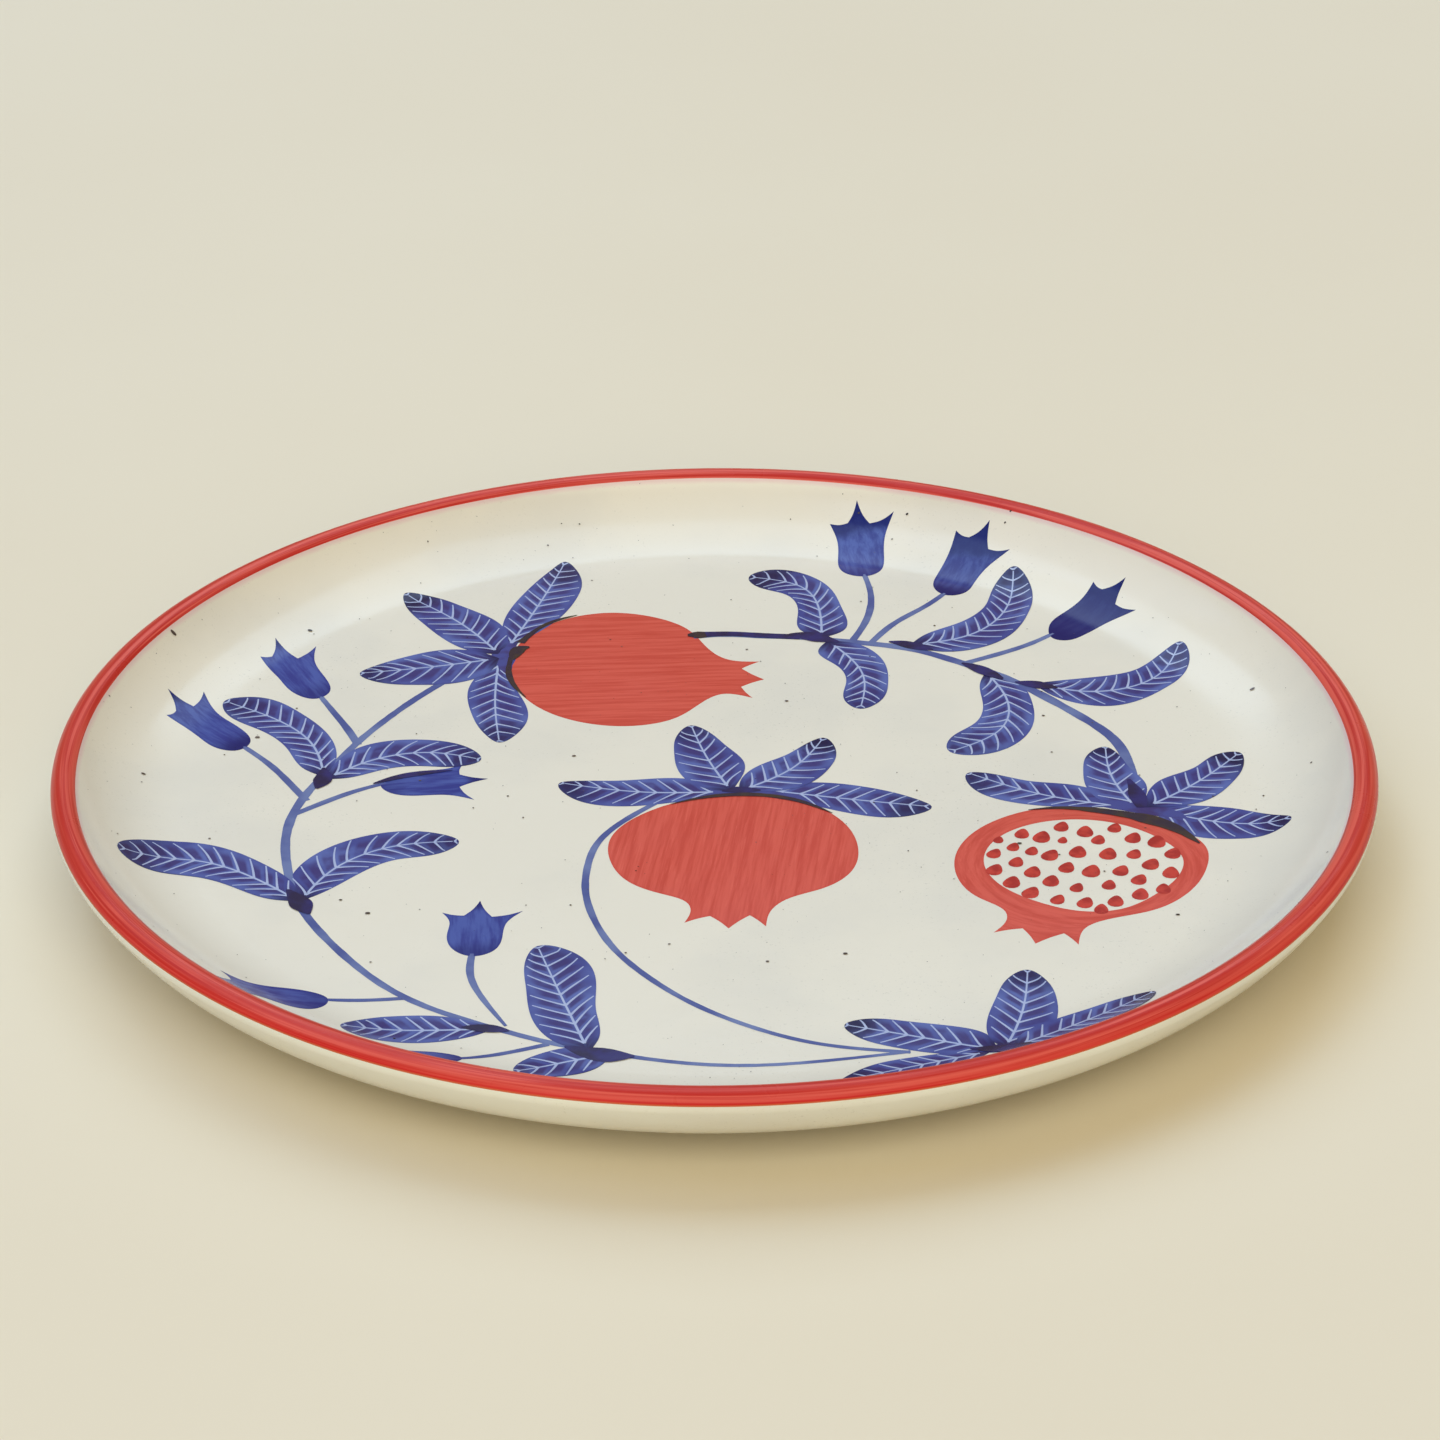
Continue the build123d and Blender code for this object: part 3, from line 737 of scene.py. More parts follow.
def laid_shell(name, flat, faces, lift, material, **notes):
    """A thin closed shell on the glaze, from flat points and faces. Notes are attributes of its points."""
    used = sorted({i for face in faces for i in face})
    new = {old: i for i, old in enumerate(used)}
    flat = np.asarray(flat)[used]
    count = len(used)
    height = glaze_height(np.hypot(flat[:, 0], flat[:, 1]))
    top = np.column_stack([flat, height + lift])
    bottom = np.column_stack([flat, height - paint_sink])
    upper = []
    for face in faces:
        corners = [new[i] for i in face]
        a, b, c = (flat[i] for i in corners[:3])
        facing = (b[0] - a[0]) * (c[1] - a[1]) - (b[1] - a[1]) * (c[0] - a[0])
        upper.append(corners if facing > 0 else corners[::-1])
    sides = {(face[i - 1], face[i]) for face in upper for i in range(len(face))}
    rim = [(b, a, a + count, b + count) for a, b in sides if (b, a) not in sides]
    lower = [[i + count for i in reversed(face)] for face in upper]
    mesh = bpy.data.meshes.new(name)
    mesh.from_pydata(np.vstack([top, bottom]).tolist(), [], upper + lower + rim)
    for label, values in notes.items():
        values = np.asarray(values, float)[used]
        attribute = mesh.attributes.new(label, "FLOAT", "POINT")
        attribute.data.foreach_set("value", np.concatenate([values, values]))
    mesh.materials.append(material)
    return mesh


def lay_patch(name, outline, lift, material, slot, *nodes, holes=(), axis=None):
    """Fills an outline, lays it and makes it a piece. Points are measured along axis, if it is given."""
    flat, faces, depth = filled(outline, holes)
    notes = {"depth": depth / MM}
    if axis is not None:
        start, end = (np.array(p) * MM for p in axis)
        notes["along"] = (flat - start) @ (end - start) / ((end - start) @ (end - start))
    mesh = share_gloss(laid_shell(name, flat, faces, lift, material, **notes))
    place(name, mesh, slot, *nodes)
    print(f"{name}: {len(mesh.polygons)} faces")


# %% [markdown]
# ## Pomegranates
# Each fruit is filled with one loaded brush, and the hairs leave streaks along the way the brush went:
# sideways on the left one, up and down on the middle one, and round the ring on the one cut open.
# The crown's points are drawn with straight strokes, so they are corners between smooth sides.

# %% Fruit outlines, in millimetres on the plate
left_fruit = (
    [(9.9, 57.3), (3.4, 58.2), (-1.4, 64), (-6, 73.5), (-14, 79.7), (-24, 81.7), (-34.5, 77.7),
     (-41.5, 69.5), (-44.4, 61), (-44.6, 53), (-42.2, 44), (-35, 33.8), (-26, 28.7), (-17.5, 27.7),
     (-8.5, 31), (-2.8, 38), (1.8, 42.1), (8.2, 40.2)],
    [(5.8, 45.4), (10.8, 48.8), (6, 54)],
)
centre_fruit = (
    [(9.9, -55.9), (10.9, -50), (14, -45.6), (21.5, -41.2), (27, -35), (28.8, -25.5), (26.4, -15.2),
     (20.5, -7.6), (12, -3.3), (3, -2.6), (-6, -5), (-15, -11), (-20.8, -19.8), (-21, -29.5),
     (-17, -38.4), (-10.5, -43.1), (-5.4, -46.8), (-4.8, -49.5), (-6, -54.3)],
    [(-1, -51.8), (2.6, -56.6), (6.8, -51.6)],
)
cut_fruit = (
    [(70.1, -63.6), (72, -57.2), (77, -53.9), (86, -50.5), (93.5, -43.6), (98.2, -33), (98.5, -25.2),
     (94, -18.5), (86.5, -13.3), (78, -10.3), (69, -9.1), (60.5, -12), (52.5, -19), (48.3, -28),
     (48.1, -37.3), (52, -45.5), (56.8, -51), (56.8, -54), (54, -58.8)],
    [(59.7, -57.3), (61.8, -63.1), (67.6, -59.3)],
)
cut_opening = [(53.7, -32), (56, -23.2), (62, -17.2), (71.5, -14.2), (81, -15.7), (89, -21.5), (93.5, -30),
               (91.6, -38), (86.5, -44.8), (79, -50.3), (72, -50.9), (63.5, -47.2), (56.5, -40.5)]
cut_centre = (73.3, -33.0)


def crowned(side, crown, sag, count=160):
    """An outline with one smooth side and a crown of slightly hollow strokes, in metres."""
    smooth = smooth_line(side, count)
    middle = np.mean(smooth, axis=0)
    corners = [smooth[-1], *(np.array(p) for p in crown), smooth[0]]
    strokes = []
    for start, end in zip(corners, corners[1:]):
        halfway = (start + end) / 2
        inward = (middle - halfway) / np.linalg.norm(middle - halfway)
        hollow = smooth_line([start, halfway + sag * inward * np.linalg.norm(end - start), end], 8)
        strokes += [hollow[1:-1], [end]] if end is not corners[-1] else [hollow[1:-1]]
    return np.vstack([smooth, *strokes]) * MM


# %% Fruit red
fruit_light = colour(216, 90, 78)
fruit_deep = colour(201, 72, 62)
fruit_thin = colour(226, 104, 90)


def fruit_paint(streaks, angle):
    """Red laid with a brush. streaks is a function that gives the place along and across the strokes."""

    def paint(page, here):
        where = streaks(page, here, angle)
        broad = noise(page, where, 1.0, 4.0, 0.65)
        fine = noise(page, where, 3.4, 3.0, 0.6)
        red = page.mix(broad.step(0.36, 0.66), fruit_light, fruit_deep)
        red = page.mix(0.45 * fine.step(0.56, 0.74), red, fruit_thin)
        return page.mix(0.4 * page.painted("depth").step(0.9, 0.1), red, fruit_deep)

    return paint


def straight_streaks(page, here, angle):
    return stretched(page, here, angle, 36.0, 700.0)


def ring_streaks(page, here, angle):
    x, y, z = page.parts(here)
    dx, dy = x - cut_centre[0] * MM, y - cut_centre[1] * MM
    out = (dx * dx + dy * dy) ** 0.5
    return page.vector(dx * 70.0, dy * 70.0, out * 620.0)


# %% Lay the fruits: outline, opening, strokes and their angle. Lifts keep crossing coats apart
layers = {"fruit": 0.02, "vine": 0.035, "leaf": 0.05, "shade": 0.15, "line": 0.16}
paint_lift = {coat: height * MM for coat, height in layers.items()}
fruits = [
    ("left_pomegranate", left_fruit, (), straight_streaks, 3.0, "left_pomegranate"),
    ("centre_pomegranate", centre_fruit, (), straight_streaks, 83.0, "centre_pomegranate"),
    ("cut_pomegranate", cut_fruit, (cut_opening,), ring_streaks, 0.0, "cut_pomegranate_skin"),
]
for fruit, (side, crown), openings, streaks, angle, node in fruits:
    name = fruit + "_painted"
    red = glazed(name + "_red", fruit_paint(streaks, angle))
    holes = [smooth_line(opening, 120, closed=True) * MM for opening in openings]
    lay_patch(name, crowned(side, crown, 0.05), paint_lift["fruit"], red, "fruit_red", node, holes=holes)

# %% [markdown]
# ## Tulips
# A tulip is a cup of thin blue with three points at its mouth. The brush is set down at the stalk and
# at the tips, so those ends are darker. How far along the flower a point is drives that change.

# %% Tulips: one side, the mouth, other side, where the dark tips start, how dark the base is
tulips = {
    "top_tulip": [
        ([(34.5, 99.6), (30.2, 101), (28.5, 109), (28.3, 115.5), (26.9, 119.4)],
         [(31, 119), (33.2, 123.2), (36, 118.1)],
         [(41.6, 119.4), (39.6, 115), (39, 107.5), (37.6, 101.8)], 0.62, 0.4),
        ([(52.6, 89.5), (50, 92.5), (50.8, 99.8), (54, 107.4), (55.6, 111.8)],
         [(58.4, 109.4), (63.2, 111.2), (62.6, 105.3)],
         [(67.4, 103.6), (62.6, 100.8), (58.8, 95), (56, 90.3)], 0.6, 1.0),
        ([(75.2, 67.2), (74, 71), (76.5, 78.2), (82.5, 84.3), (85.2, 88)],
         [(86.9, 85.1), (92.1, 85.4), (89.4, 79.6)],
         [(93.6, 75.9), (87.6, 74.2), (81.5, 69), (77.5, 66.6)], 0.7, 1.0),
    ],
    "left_tulip": [
        ([(-85.4, 41.2), (-90, 43.3), (-94.4, 50.8), (-97.2, 55.8), (-99.2, 59.5)],
         [(-96.7, 60.3), (-96.6, 67.3), (-91.1, 60.2)],
         [(-87.6, 66), (-87.3, 58.8), (-83.6, 49), (-83.2, 43.4)], 0.8, 0.4),
        ([(-100, 18), (-104.6, 19), (-108.6, 23.4), (-112.6, 27.3), (-116.2, 29.4)],
         [(-114.5, 32.1), (-116.8, 38.3), (-111.2, 35.6)],
         [(-109.7, 42), (-106.4, 35), (-100, 27), (-98, 20.5)], 0.8, 0.9),
        ([(-69, 2.4), (-66, 6), (-60, 8.4), (-55.8, 9.2), (-52.6, 10.8)],
         [(-52.9, 6.6), (-47, 4.7), (-52.7, 1.3)],
         [(-49.4, -4.2), (-55, -2.1), (-61, -2.3), (-67, -0.9)], 0.75, 0.3),
        ([(-46.7, -66.4), (-50.6, -63.8), (-52, -57.5), (-51.9, -53), (-53.4, -49.9)],
         [(-49.1, -51.1), (-46.2, -45.4), (-43.6, -51.6)],
         [(-37.7, -49.5), (-40.6, -53.8), (-41.3, -60), (-42.9, -64.6)], 0.8, 0.5),
        ([(-73.2, -82), (-76.4, -79.3), (-82.5, -78.2), (-89, -78.2), (-94, -75.8)],
         [(-91.5, -80), (-96.5, -83), (-91, -84.5)],
         [(-91, -90), (-86, -85.5), (-81, -86.6), (-75.2, -86)], 0.8, 0.4),
        ([(-46.8, -103.4), (-49.5, -101.9), (-54, -101.6), (-58.5, -102), (-62.5, -100.4)],
         [(-60.8, -103.2), (-65, -104.8), (-60.6, -106.4)],
         [(-61, -110.5), (-57.5, -107.6), (-53, -107.8), (-48.8, -106.3)], 0.8, 0.4),
    ],
}

# %% Tulip blue
tulip_thin = colour(72, 90, 166)
tulip_blue = colour(46, 56, 138)
tulip_dark = colour(12, 18, 98)
heavy_hand = {"top_tulip_2": 0.3, "top_tulip_3": 0.85}  # a brush with more blue in it


def tulip_paint(tips, base, lean, heavy):
    """Blue that darkens past tips and, by base, at its foot. heavy darkens it all, lean turns its strokes."""

    def paint(page, here):
        strokes = noise(page, stretched(page, here, lean, 90.0, 640.0), 1.0, 3.0, 0.6)
        blue = page.mix(strokes.step(0.34, 0.66), tulip_thin, tulip_blue)
        blue = page.mix(0.5 * page.painted("depth").step(0.8, 0.1), blue, tulip_blue)
        blue = page.mix(heavy, blue, tulip_dark)
        ragged = page.painted("along") + 0.16 * (noise(page, here, 260.0, 2.0) - 0.5)
        blue = page.mix(0.85 * ragged.step(tips, tips + 0.14), blue, tulip_dark)
        return page.mix(base * ragged.step(0.3, 0.02), blue, tulip_dark)

    return paint


def lay_tulip(name, side, mouth, other_side, tips, base):
    cup = crowned(other_side + side, mouth, 0.1, 90)
    stalk, middle = np.mean([side[0], other_side[-1]], axis=0), mouth[1]
    lean = math.degrees(math.atan2(middle[1] - stalk[1], middle[0] - stalk[0]))
    paint = tulip_paint(tips, base, lean, heavy_hand.get(name, 0.0))
    blue = glazed(name + "_blue", paint, gloss=paint_gloss)
    lay_patch(name + "_painted", cup, paint_lift["leaf"], blue, "tulip_blue", name, axis=(stalk, middle))


for branch, flowers in tulips.items():
    for number, flower in enumerate(flowers, 1):
        lay_tulip(f"{branch}_{number}", *flower)

# %% [markdown]
# ## Leaves
# A leaf is two pulls of a broad brush, one down each side of the midrib. Its width at four places
# down each side fixes its outline. The surface is a net that runs along and across the leaf, so every
# point knows how far along and how far across it is. Veins and shading follow those two numbers and
# bend with the leaf, which a pattern in plain x and y could never do.

# %% Leaves: midrib, half widths left and right at the stations, how dark the tip is
stations = (0.0, 0.1, 0.35, 0.65, 0.925, 1.0)
spine_steps = 400
leaves = {
    "left_pomegranate": [
        ([(-45.5, 64), (-39.5, 85), (-34, 107.5)], (2.5, 5.4, 4.6, 1.8), (1.8, 6.0, 7.3, 3.7), 0.8),
        ([(-47, 61.5), (-56.5, 77), (-69.5, 91)], (4.0, 7.0, 6.2, 2.8), (3.8, 7.0, 5.4, 2.8), 1.0),
        ([(-47, 59.5), (-62, 55.5), (-77, 52.8)], (5.2, 8.6, 7.4, 3.8), (4.0, 7.4, 6.0, 2.2), 0.7),
        ([(-47, 59), (-47, 39), (-45.3, 20.6)], (1.2, 4.2, 6.9, 3.6), (2.4, 5.8, 5.1, 2.2), 0.6),
    ],
    "centre_pomegranate": [
        ([(2.5, -1.5), (-15, -1.5), (-32, 2.7)], (1.6, 4.4, 6.8, 4.2), (4.0, 6.3, 4.2, 1.6), 0.8),
        ([(3.5, -1.5), (-1.5, 13), (-4.9, 27.6)], (4.5, 7.3, 6.0, 2.9), (2.5, 6.7, 5.2, 2.3), 0.7),
        ([(5, -1.5), (15.8, 7.8), (23, 21.6)], (3.5, 6.0, 4.2, 1.8), (2.5, 6.5, 6.3, 3.2), 1.0),
        ([(7, 0), (26.5, -4.8), (44.4, -8.5)], (2.0, 5.6, 5.6, 2.3), (1.2, 3.8, 6.1, 3.9), 0.8),
    ],
    "cut_pomegranate": [
        ([(84, -9), (68, -4), (52.6, 5.8)], (1.0, 3.4, 5.9, 3.9), (3.4, 6.3, 4.0, 2.0), 0.7),
        ([(86, -9.5), (82.2, 4), (82, 16.8)], (4.0, 6.3, 5.3, 2.9), (3.0, 6.0, 4.4, 2.0), 0.9),
        ([(88, -9.5), (98.8, 0.2), (109.8, 13.8)], (3.0, 6.0, 4.1, 3.0), (2.5, 6.1, 5.4, 2.5), 1.0),
        ([(89, -10), (103, -15.8), (116.8, -16.6)], (2.8, 5.8, 6.0, 2.2), (2.5, 7.0, 6.2, 3.2), 0.9),
    ],
    "top_vine": [
        ([(23.7, 68.5), (23.6, 82), (19.5, 94.5), (8, 99.5)],
         (4.6, 4.8, 5.2, 4.4), (4.9, 5.2, 5.3, 4.4), 0.9),
        ([(25, 67), (32, 52), (31.2, 34.8)], (4.0, 6.2, 5.1, 3.0), (4.6, 4.1, 4.0, 3.4), 0.3),
        ([(43, 64.5), (56.2, 69.2), (65, 81.5), (68, 98.9)],
         (4.2, 6.0, 4.8, 3.2), (4.0, 6.4, 5.2, 2.9), 0.8),
        ([(59, 51.5), (62.8, 38), (60.2, 24.5), (49.3, 15.2)],
         (3.8, 5.2, 6.0, 4.0), (3.2, 5.4, 6.0, 4.6), 0.3),
        ([(69, 46), (81, 42), (92.8, 46), (102, 61.5)], (3.4, 6.8, 5.5, 2.8), (3.0, 6.8, 4.6, 3.0), 0.5),
    ],
    "left_vine": [
        ([(-81, 6), (-85.5, 22), (-93.5, 31.8), (-105, 40)],
         (3.8, 5.4, 5.5, 3.9), (2.4, 4.5, 5.6, 4.6), 0.5),
        ([(-80.5, 5), (-70.5, 13.6), (-59.5, 16.2), (-48.8, 13)],
         (2.6, 6.5, 5.7, 2.9), (2.9, 4.8, 5.8, 4.1), 0.6),
        ([(-82, -45), (-93, -34.8), (-105, -28.6), (-119.2, -29.8)],
         (3.2, 5.1, 6.2, 5.2), (3.0, 5.2, 6.8, 5.2), 0.6),
        ([(-81.5, -45), (-76, -32.5), (-66, -24), (-51.6, -21.5)],
         (4.1, 6.9, 6.2, 3.0), (2.6, 5.2, 5.3, 4.2), 0.5),
        ([(-41.5, -92.8), (-56, -93.2), (-70, -92.5)], (1.8, 4.0, 5.2, 3.2), (2.0, 4.9, 5.0, 2.6), 0.4),
        ([(-23.5, -101), (-29, -82), (-34.3, -62.9)], (4.3, 7.2, 5.6, 2.7), (3.0, 5.1, 8.0, 5.2), 0.2),
        ([(-19.5, -102), (-27.5, -104.5), (-37, -108.5)], (2.5, 4.6, 4.6, 2.6), (2.6, 4.6, 4.4, 2.4), 0.4),
    ],
    "low_sprig": [
        ([(52, -101.5), (38, -96.7), (24.1, -92.2)], (2.0, 4.4, 4.7, 2.6), (4.6, 5.6, 4.6, 2.6), 1.0),
        ([(53.5, -101.5), (57.8, -87), (59.6, -72.9)], (3.5, 5.9, 5.4, 2.9), (3.5, 6.6, 6.0, 2.8), 0.8),
        ([(55, -101.5), (69.5, -92.5), (82.8, -83.4)], (3.0, 4.6, 3.8, 1.9), (2.5, 4.2, 3.8, 2.3), 0.9),
        ([(51, -102.5), (37, -107), (23, -112.5)], (2.0, 4.2, 4.2, 2.2), (1.6, 3.0, 3.8, 1.9), 0.8),
    ],
}
rows_along = 64
rows_across = 8
vein_gap = 3.7 * MM
vein_slant = 1.05


def leaf_net(midrib, left, right):
    """The net of a leaf: places, how far along and across each is, and its faces."""
    at = np.linspace(0, 1, spine_steps + 1)
    spine = smooth_line(midrib, spine_steps + 1) * MM
    heading = np.gradient(spine, axis=0)
    heading /= np.linalg.norm(heading, axis=1)[:, None]
    beside = np.stack([-heading[:, 1], heading[:, 0]], axis=1)
    marks = [round(spine_steps * s) for s in stations[1:-1]]
    left_side = [spine[m] + beside[m] * w * MM for m, w in zip(marks, left)]
    right_side = [spine[m] - beside[m] * w * MM for m, w in zip(marks, right)]
    loop = [spine[0], *left_side, spine[-1], *right_side[::-1], spine[0]]
    along = np.linspace(0, 1, rows_along + 1)
    down_left = np.interp(along, stations, np.arange(len(stations))) / (len(loop) - 1)
    edge_left = smooth_line(loop, down_left)
    edge_right = smooth_line(loop, 1 - down_left)
    middle = np.stack([np.interp(along, at, spine[:, i]) for i in (0, 1)], axis=1)
    across = np.linspace(-1, 1, 2 * rows_across + 1)
    toward = np.where(across[None, :, None] < 0, edge_right[:, None], edge_left[:, None])
    places = middle[:, None] + (toward - middle[:, None]) * np.abs(across)[None, :, None]
    wide = len(across)
    faces = []
    for i in range(rows_along):
        for j in range(wide - 1):
            a = i * wide + j
            corners = [a, a + 1, a + wide + 1, a + wide]
            if i == 0:
                corners = [0, a + wide + 1, a + wide]
            if i == rows_along - 1:
                corners = [a, a + 1, a + wide - j]
            faces.append(corners)
    grid_along, grid_across = np.meshgrid(along, across, indexing="ij")
    length = np.linalg.norm(np.diff(spine, axis=0), axis=1).sum()
    half_width = np.mean([*left, *right]) * MM
    return places.reshape(-1, 2), grid_along.ravel(), grid_across.ravel(), faces, length, half_width


# %% Leaf blue
leaf_edge = colour(90, 106, 174)
leaf_blue = colour(66, 74, 146)
leaf_indigo = colour(58, 48, 112)
leaf_navy = colour(14, 10, 62)


def leaf_paint(tip):
    """Blue between the veins goes from clear at the edge to indigo where strokes overlap."""

    def paint(page, here):
        across = abs(page.painted("across"))
        along = page.painted("along")
        lump = noise(page, here, 170.0, 3.0)
        blue = page.mix(noise(page, here, 90.0, 3.0).step(0.36, 0.64), leaf_edge, leaf_blue)
        between = abs(page.painted("vein").fraction() - 0.5).step(0.46, 0.2)
        inward = (across + 0.5 * (lump - 0.5)).step(0.88, 0.5)
        strokes = between * inward * across.step(0.02, 0.16)
        blue = page.mix(0.85 * strokes * lump.step(0.2, 0.5), blue, leaf_indigo)
        end = (along + 0.3 * (lump - 0.5)).step(0.7, 0.92)
        blue = page.mix(tip * 0.9 * end, blue, leaf_navy)
        return page.mix(0.8 * along.step(0.16, 0.02), blue, leaf_navy)

    return paint


# %% Lay the leaves. Neighbours overlap, so their heights differ by a step
leaf_step = 0.025 * MM
leaf_steps = 4
tip_easing = 0.3
leaf_finishes = {}
leaf_pieces = []


def lay_leaf(name, number, midrib, left, right, tip):
    if tip not in leaf_finishes:
        leaf_finishes[tip] = glazed(f"leaf_blue_{round(10 * tip)}", leaf_paint(tip), gloss=paint_gloss)
    flat, along, across, faces, length, half_width = leaf_net(midrib, left, right)
    pairs = round(length / vein_gap)
    slant = vein_slant * half_width / length
    vein = pairs * (along - slant * np.abs(across) * np.clip((1 - along) / tip_easing, 0, 1))
    notes = {"along": along, "across": across, "vein": vein}
    lift = paint_lift["leaf"] + leaf_step * (number % leaf_steps)
    mesh = laid_shell(name + "_painted", flat, faces, lift, leaf_finishes[tip], **notes)
    piece = place(name + "_painted", share_gloss(mesh), "leaf_blue", name)
    leaf_pieces.append((name, piece, pairs, slant, lift))


for plant, sprays in leaves.items():
    for number, leaf in enumerate(sprays, 1):
        lay_leaf(f"{plant}_leaf_{number}", number, *leaf)
print("leaves:", len(leaf_pieces), "finishes:", len(leaf_finishes))

# %% [markdown]
# ## Strokes that follow a line
# Vines, stalks and veins are all the same thing: a brush drawn along a line. The tree for them sets
# each line down on the glaze, sweeps a round brush along it whose size is the line's own width, and
# then presses the result nearly flat. Floor and wall are one formula, so a stroke may run over both.


# %% Brush stroke tree
def height_under(page, position):
    """The glaze's height under a position, as nodes."""
    out = (from_axis(page, position) - wall_r).at_least(0.0).up_to(wall_top_r - wall_r)
    return wall_z - (wall_bend**2 - out * out) ** 0.5


def seat(page, lines, position):
    """Sets lines down on the glaze under a position."""
    x, y, z = page.parts(position)
    seated = page.vector(x, y, height_under(page, position))
    return page.node("GeometryNodeSetPosition", None, Geometry=lines, Position=seated)


def press(page, mesh, lift, flatness):
    """Presses a mesh that straddles the glaze down to a film a little above it."""
    position = page.node("GeometryNodeInputPosition")
    x, y, z = page.parts(position)
    under = height_under(page, position)
    pressed = page.vector(x, y, under + lift + (z - under) * flatness)
    return page.node("GeometryNodeSetPosition", None, Geometry=mesh, Position=pressed)


def sweep_flat(page, lines, width, given):
    """Sweeps a round brush along lines that lie on the glaze and presses it flat."""
    brush = page.node("GeometryNodeCurvePrimitiveCircle", None, Resolution=8, Radius=1.0)
    inputs = {"Curve": lines, "Profile Curve": brush, "Scale": width, "Fill Caps": True}
    swept = page.node("GeometryNodeCurveToMesh", None, **inputs)
    smooth = page.node("GeometryNodeSetShadeSmooth", None, Geometry=swept)
    return press(page, smooth, given["Lift"], given["Flatness"])


def write_stroke():
    sizes = {"Step": 0.8 * MM, "Lift": paint_lift["vine"], "Flatness": 0.03, "Hand": 0.22, "Seed": 3}
    page, given = geometry_tree("brush_stroke", sizes)
    lines = page.node("GeometryNodeMeshToCurve", None, given["Geometry"])
    lines = page.node("GeometryNodeResampleCurve", {"mode": "LENGTH"}, Curve=lines, Length=given["Step"])
    position = page.node("GeometryNodeInputPosition")
    lines = seat(page, lines, position)
    x, y, z = page.parts(position)
    shaky = noise(page, page.vector(x, y, given["Seed"]), 190.0, 2.0) - 0.5
    width = page.stored("half_width") * (1 + 2 * given["Hand"] * shaky)
    return finish_tree(page, sweep_flat(page, lines, width, given), given)


brush_stroke = write_stroke()


route_points = 60
thinnest = 0.08


def line_mesh(name, strokes):
    """A mesh of open lines. Each stroke is its points in millimetres and its half widths along them."""
    points, edges, widths = [], [], []
    for route, half_widths in strokes:
        line = smooth_line(route, route_points)
        first = len(points)
        points += [(x * MM, y * MM, 0.0) for x, y in line]
        edges += [(first + i, first + i + 1) for i in range(len(line) - 1)]
        eased = smooth_line([(w, 10.0 * i) for i, w in enumerate(half_widths)], len(line))[:, 0]
        widths += list(np.maximum(eased, thinnest) * MM)
    mesh = bpy.data.meshes.new(name)
    mesh.from_pydata(points, edges, [])
    mesh.attributes.new("half_width", "FLOAT", "POINT").data.foreach_set("value", widths)
    return mesh


def brush(name, strokes, material, slot, *nodes, lift="vine", hand=0.22):
    """Paints strokes as one piece."""
    sizes = {"Lift": paint_lift[lift], "Hand": hand}
    mesh = grow(name, line_mesh(name + ".lines", strokes), brush_stroke, material, **sizes)
    place(name, share_gloss(mesh), slot, *nodes)
    print(f"{name}: {len(mesh.polygons)} faces")


# %% Vines and stalks: name, route, half widths from start to end
vines = [
    ("top_vine", [(-4.6, 70.2), (3, 70.7), (11, 69.8), (19, 69), (27, 67.2), (36, 65.2), (43, 62.9),
                  (54, 56), (62.5, 49.3), (70.5, 40.4), (78.4, 30), (84.1, 20.2), (86.3, 9), (86.8, 0)],
     (1.5, 1.2, 1.1, 1.2, 1.2, 1.2, 1.1)),
    ("left_vine", [(-59, 48), (-64.3, 40.5), (-70.5, 30.2), (-75.2, 21), (-79.5, 10.5), (-83.5, 0.5),
                   (-86.2, -10.5), (-86.7, -20), (-85.3, -32), (-81.3, -47.5), (-76.5, -57.5), (-70, -68),
                   (-62, -78.2), (-53, -85.8), (-43, -91.6), (-32, -97.2), (-20, -101.4), (-7, -104.8),
                   (6, -106), (20, -104.6), (36, -101.6)],
     (0.9, 0.9, 1.0, 0.9, 0.8, 0.7, 0.55, 0.45)),
    ("inner_vine", [(-12, -6), (-18.7, -13.8), (-23.4, -22), (-25.4, -32), (-25.6, -41.5), (-23.7, -52.5),
                    (-19.5, -64), (-12.5, -75), (-4, -84.5), (6, -92.2), (18, -98.3), (36, -101.8)],
     (0.7, 0.75, 0.7, 0.6, 0.5)),
]
stalks = {
    "top_tulip_stems": [
        ([(34.2, 100.5), (35.2, 93), (35.1, 84), (33.3, 75), (30.3, 66.5)], (0.6, 0.8, 0.8)),
        ([(52, 90.5), (47.2, 83.8), (40.6, 76.2), (34.6, 66)], (0.6, 0.8, 0.8)),
        ([(75, 70), (69.5, 65), (62.5, 60.3), (54.2, 55.6)], (0.6, 0.8, 0.8)),
    ],
    "left_tulip_stems": [
        ([(-84.6, 42), (-81, 34.2), (-77.5, 26.5), (-75, 20)], (0.6, 0.8, 0.9)),
        ([(-99, 19.5), (-92.5, 11), (-87, 1.6), (-83.8, -4.2)], (0.6, 0.8, 0.8)),
        ([(-68, 3.2), (-74, -0.2), (-80, -4.8), (-86, -10)], (0.6, 0.8, 0.8)),
        ([(-46.8, -65.5), (-46.8, -73), (-44, -82), (-39.2, -91.8)], (0.7, 0.7, 0.3)),
        ([(-74, -82), (-67, -82.3), (-58.2, -81.6)], (0.5, 0.6, 0.6)),
        ([(-31, -98.2), (-38, -100.9), (-47.4, -103.7)], (0.6, 0.6, 0.5)),
    ],
}

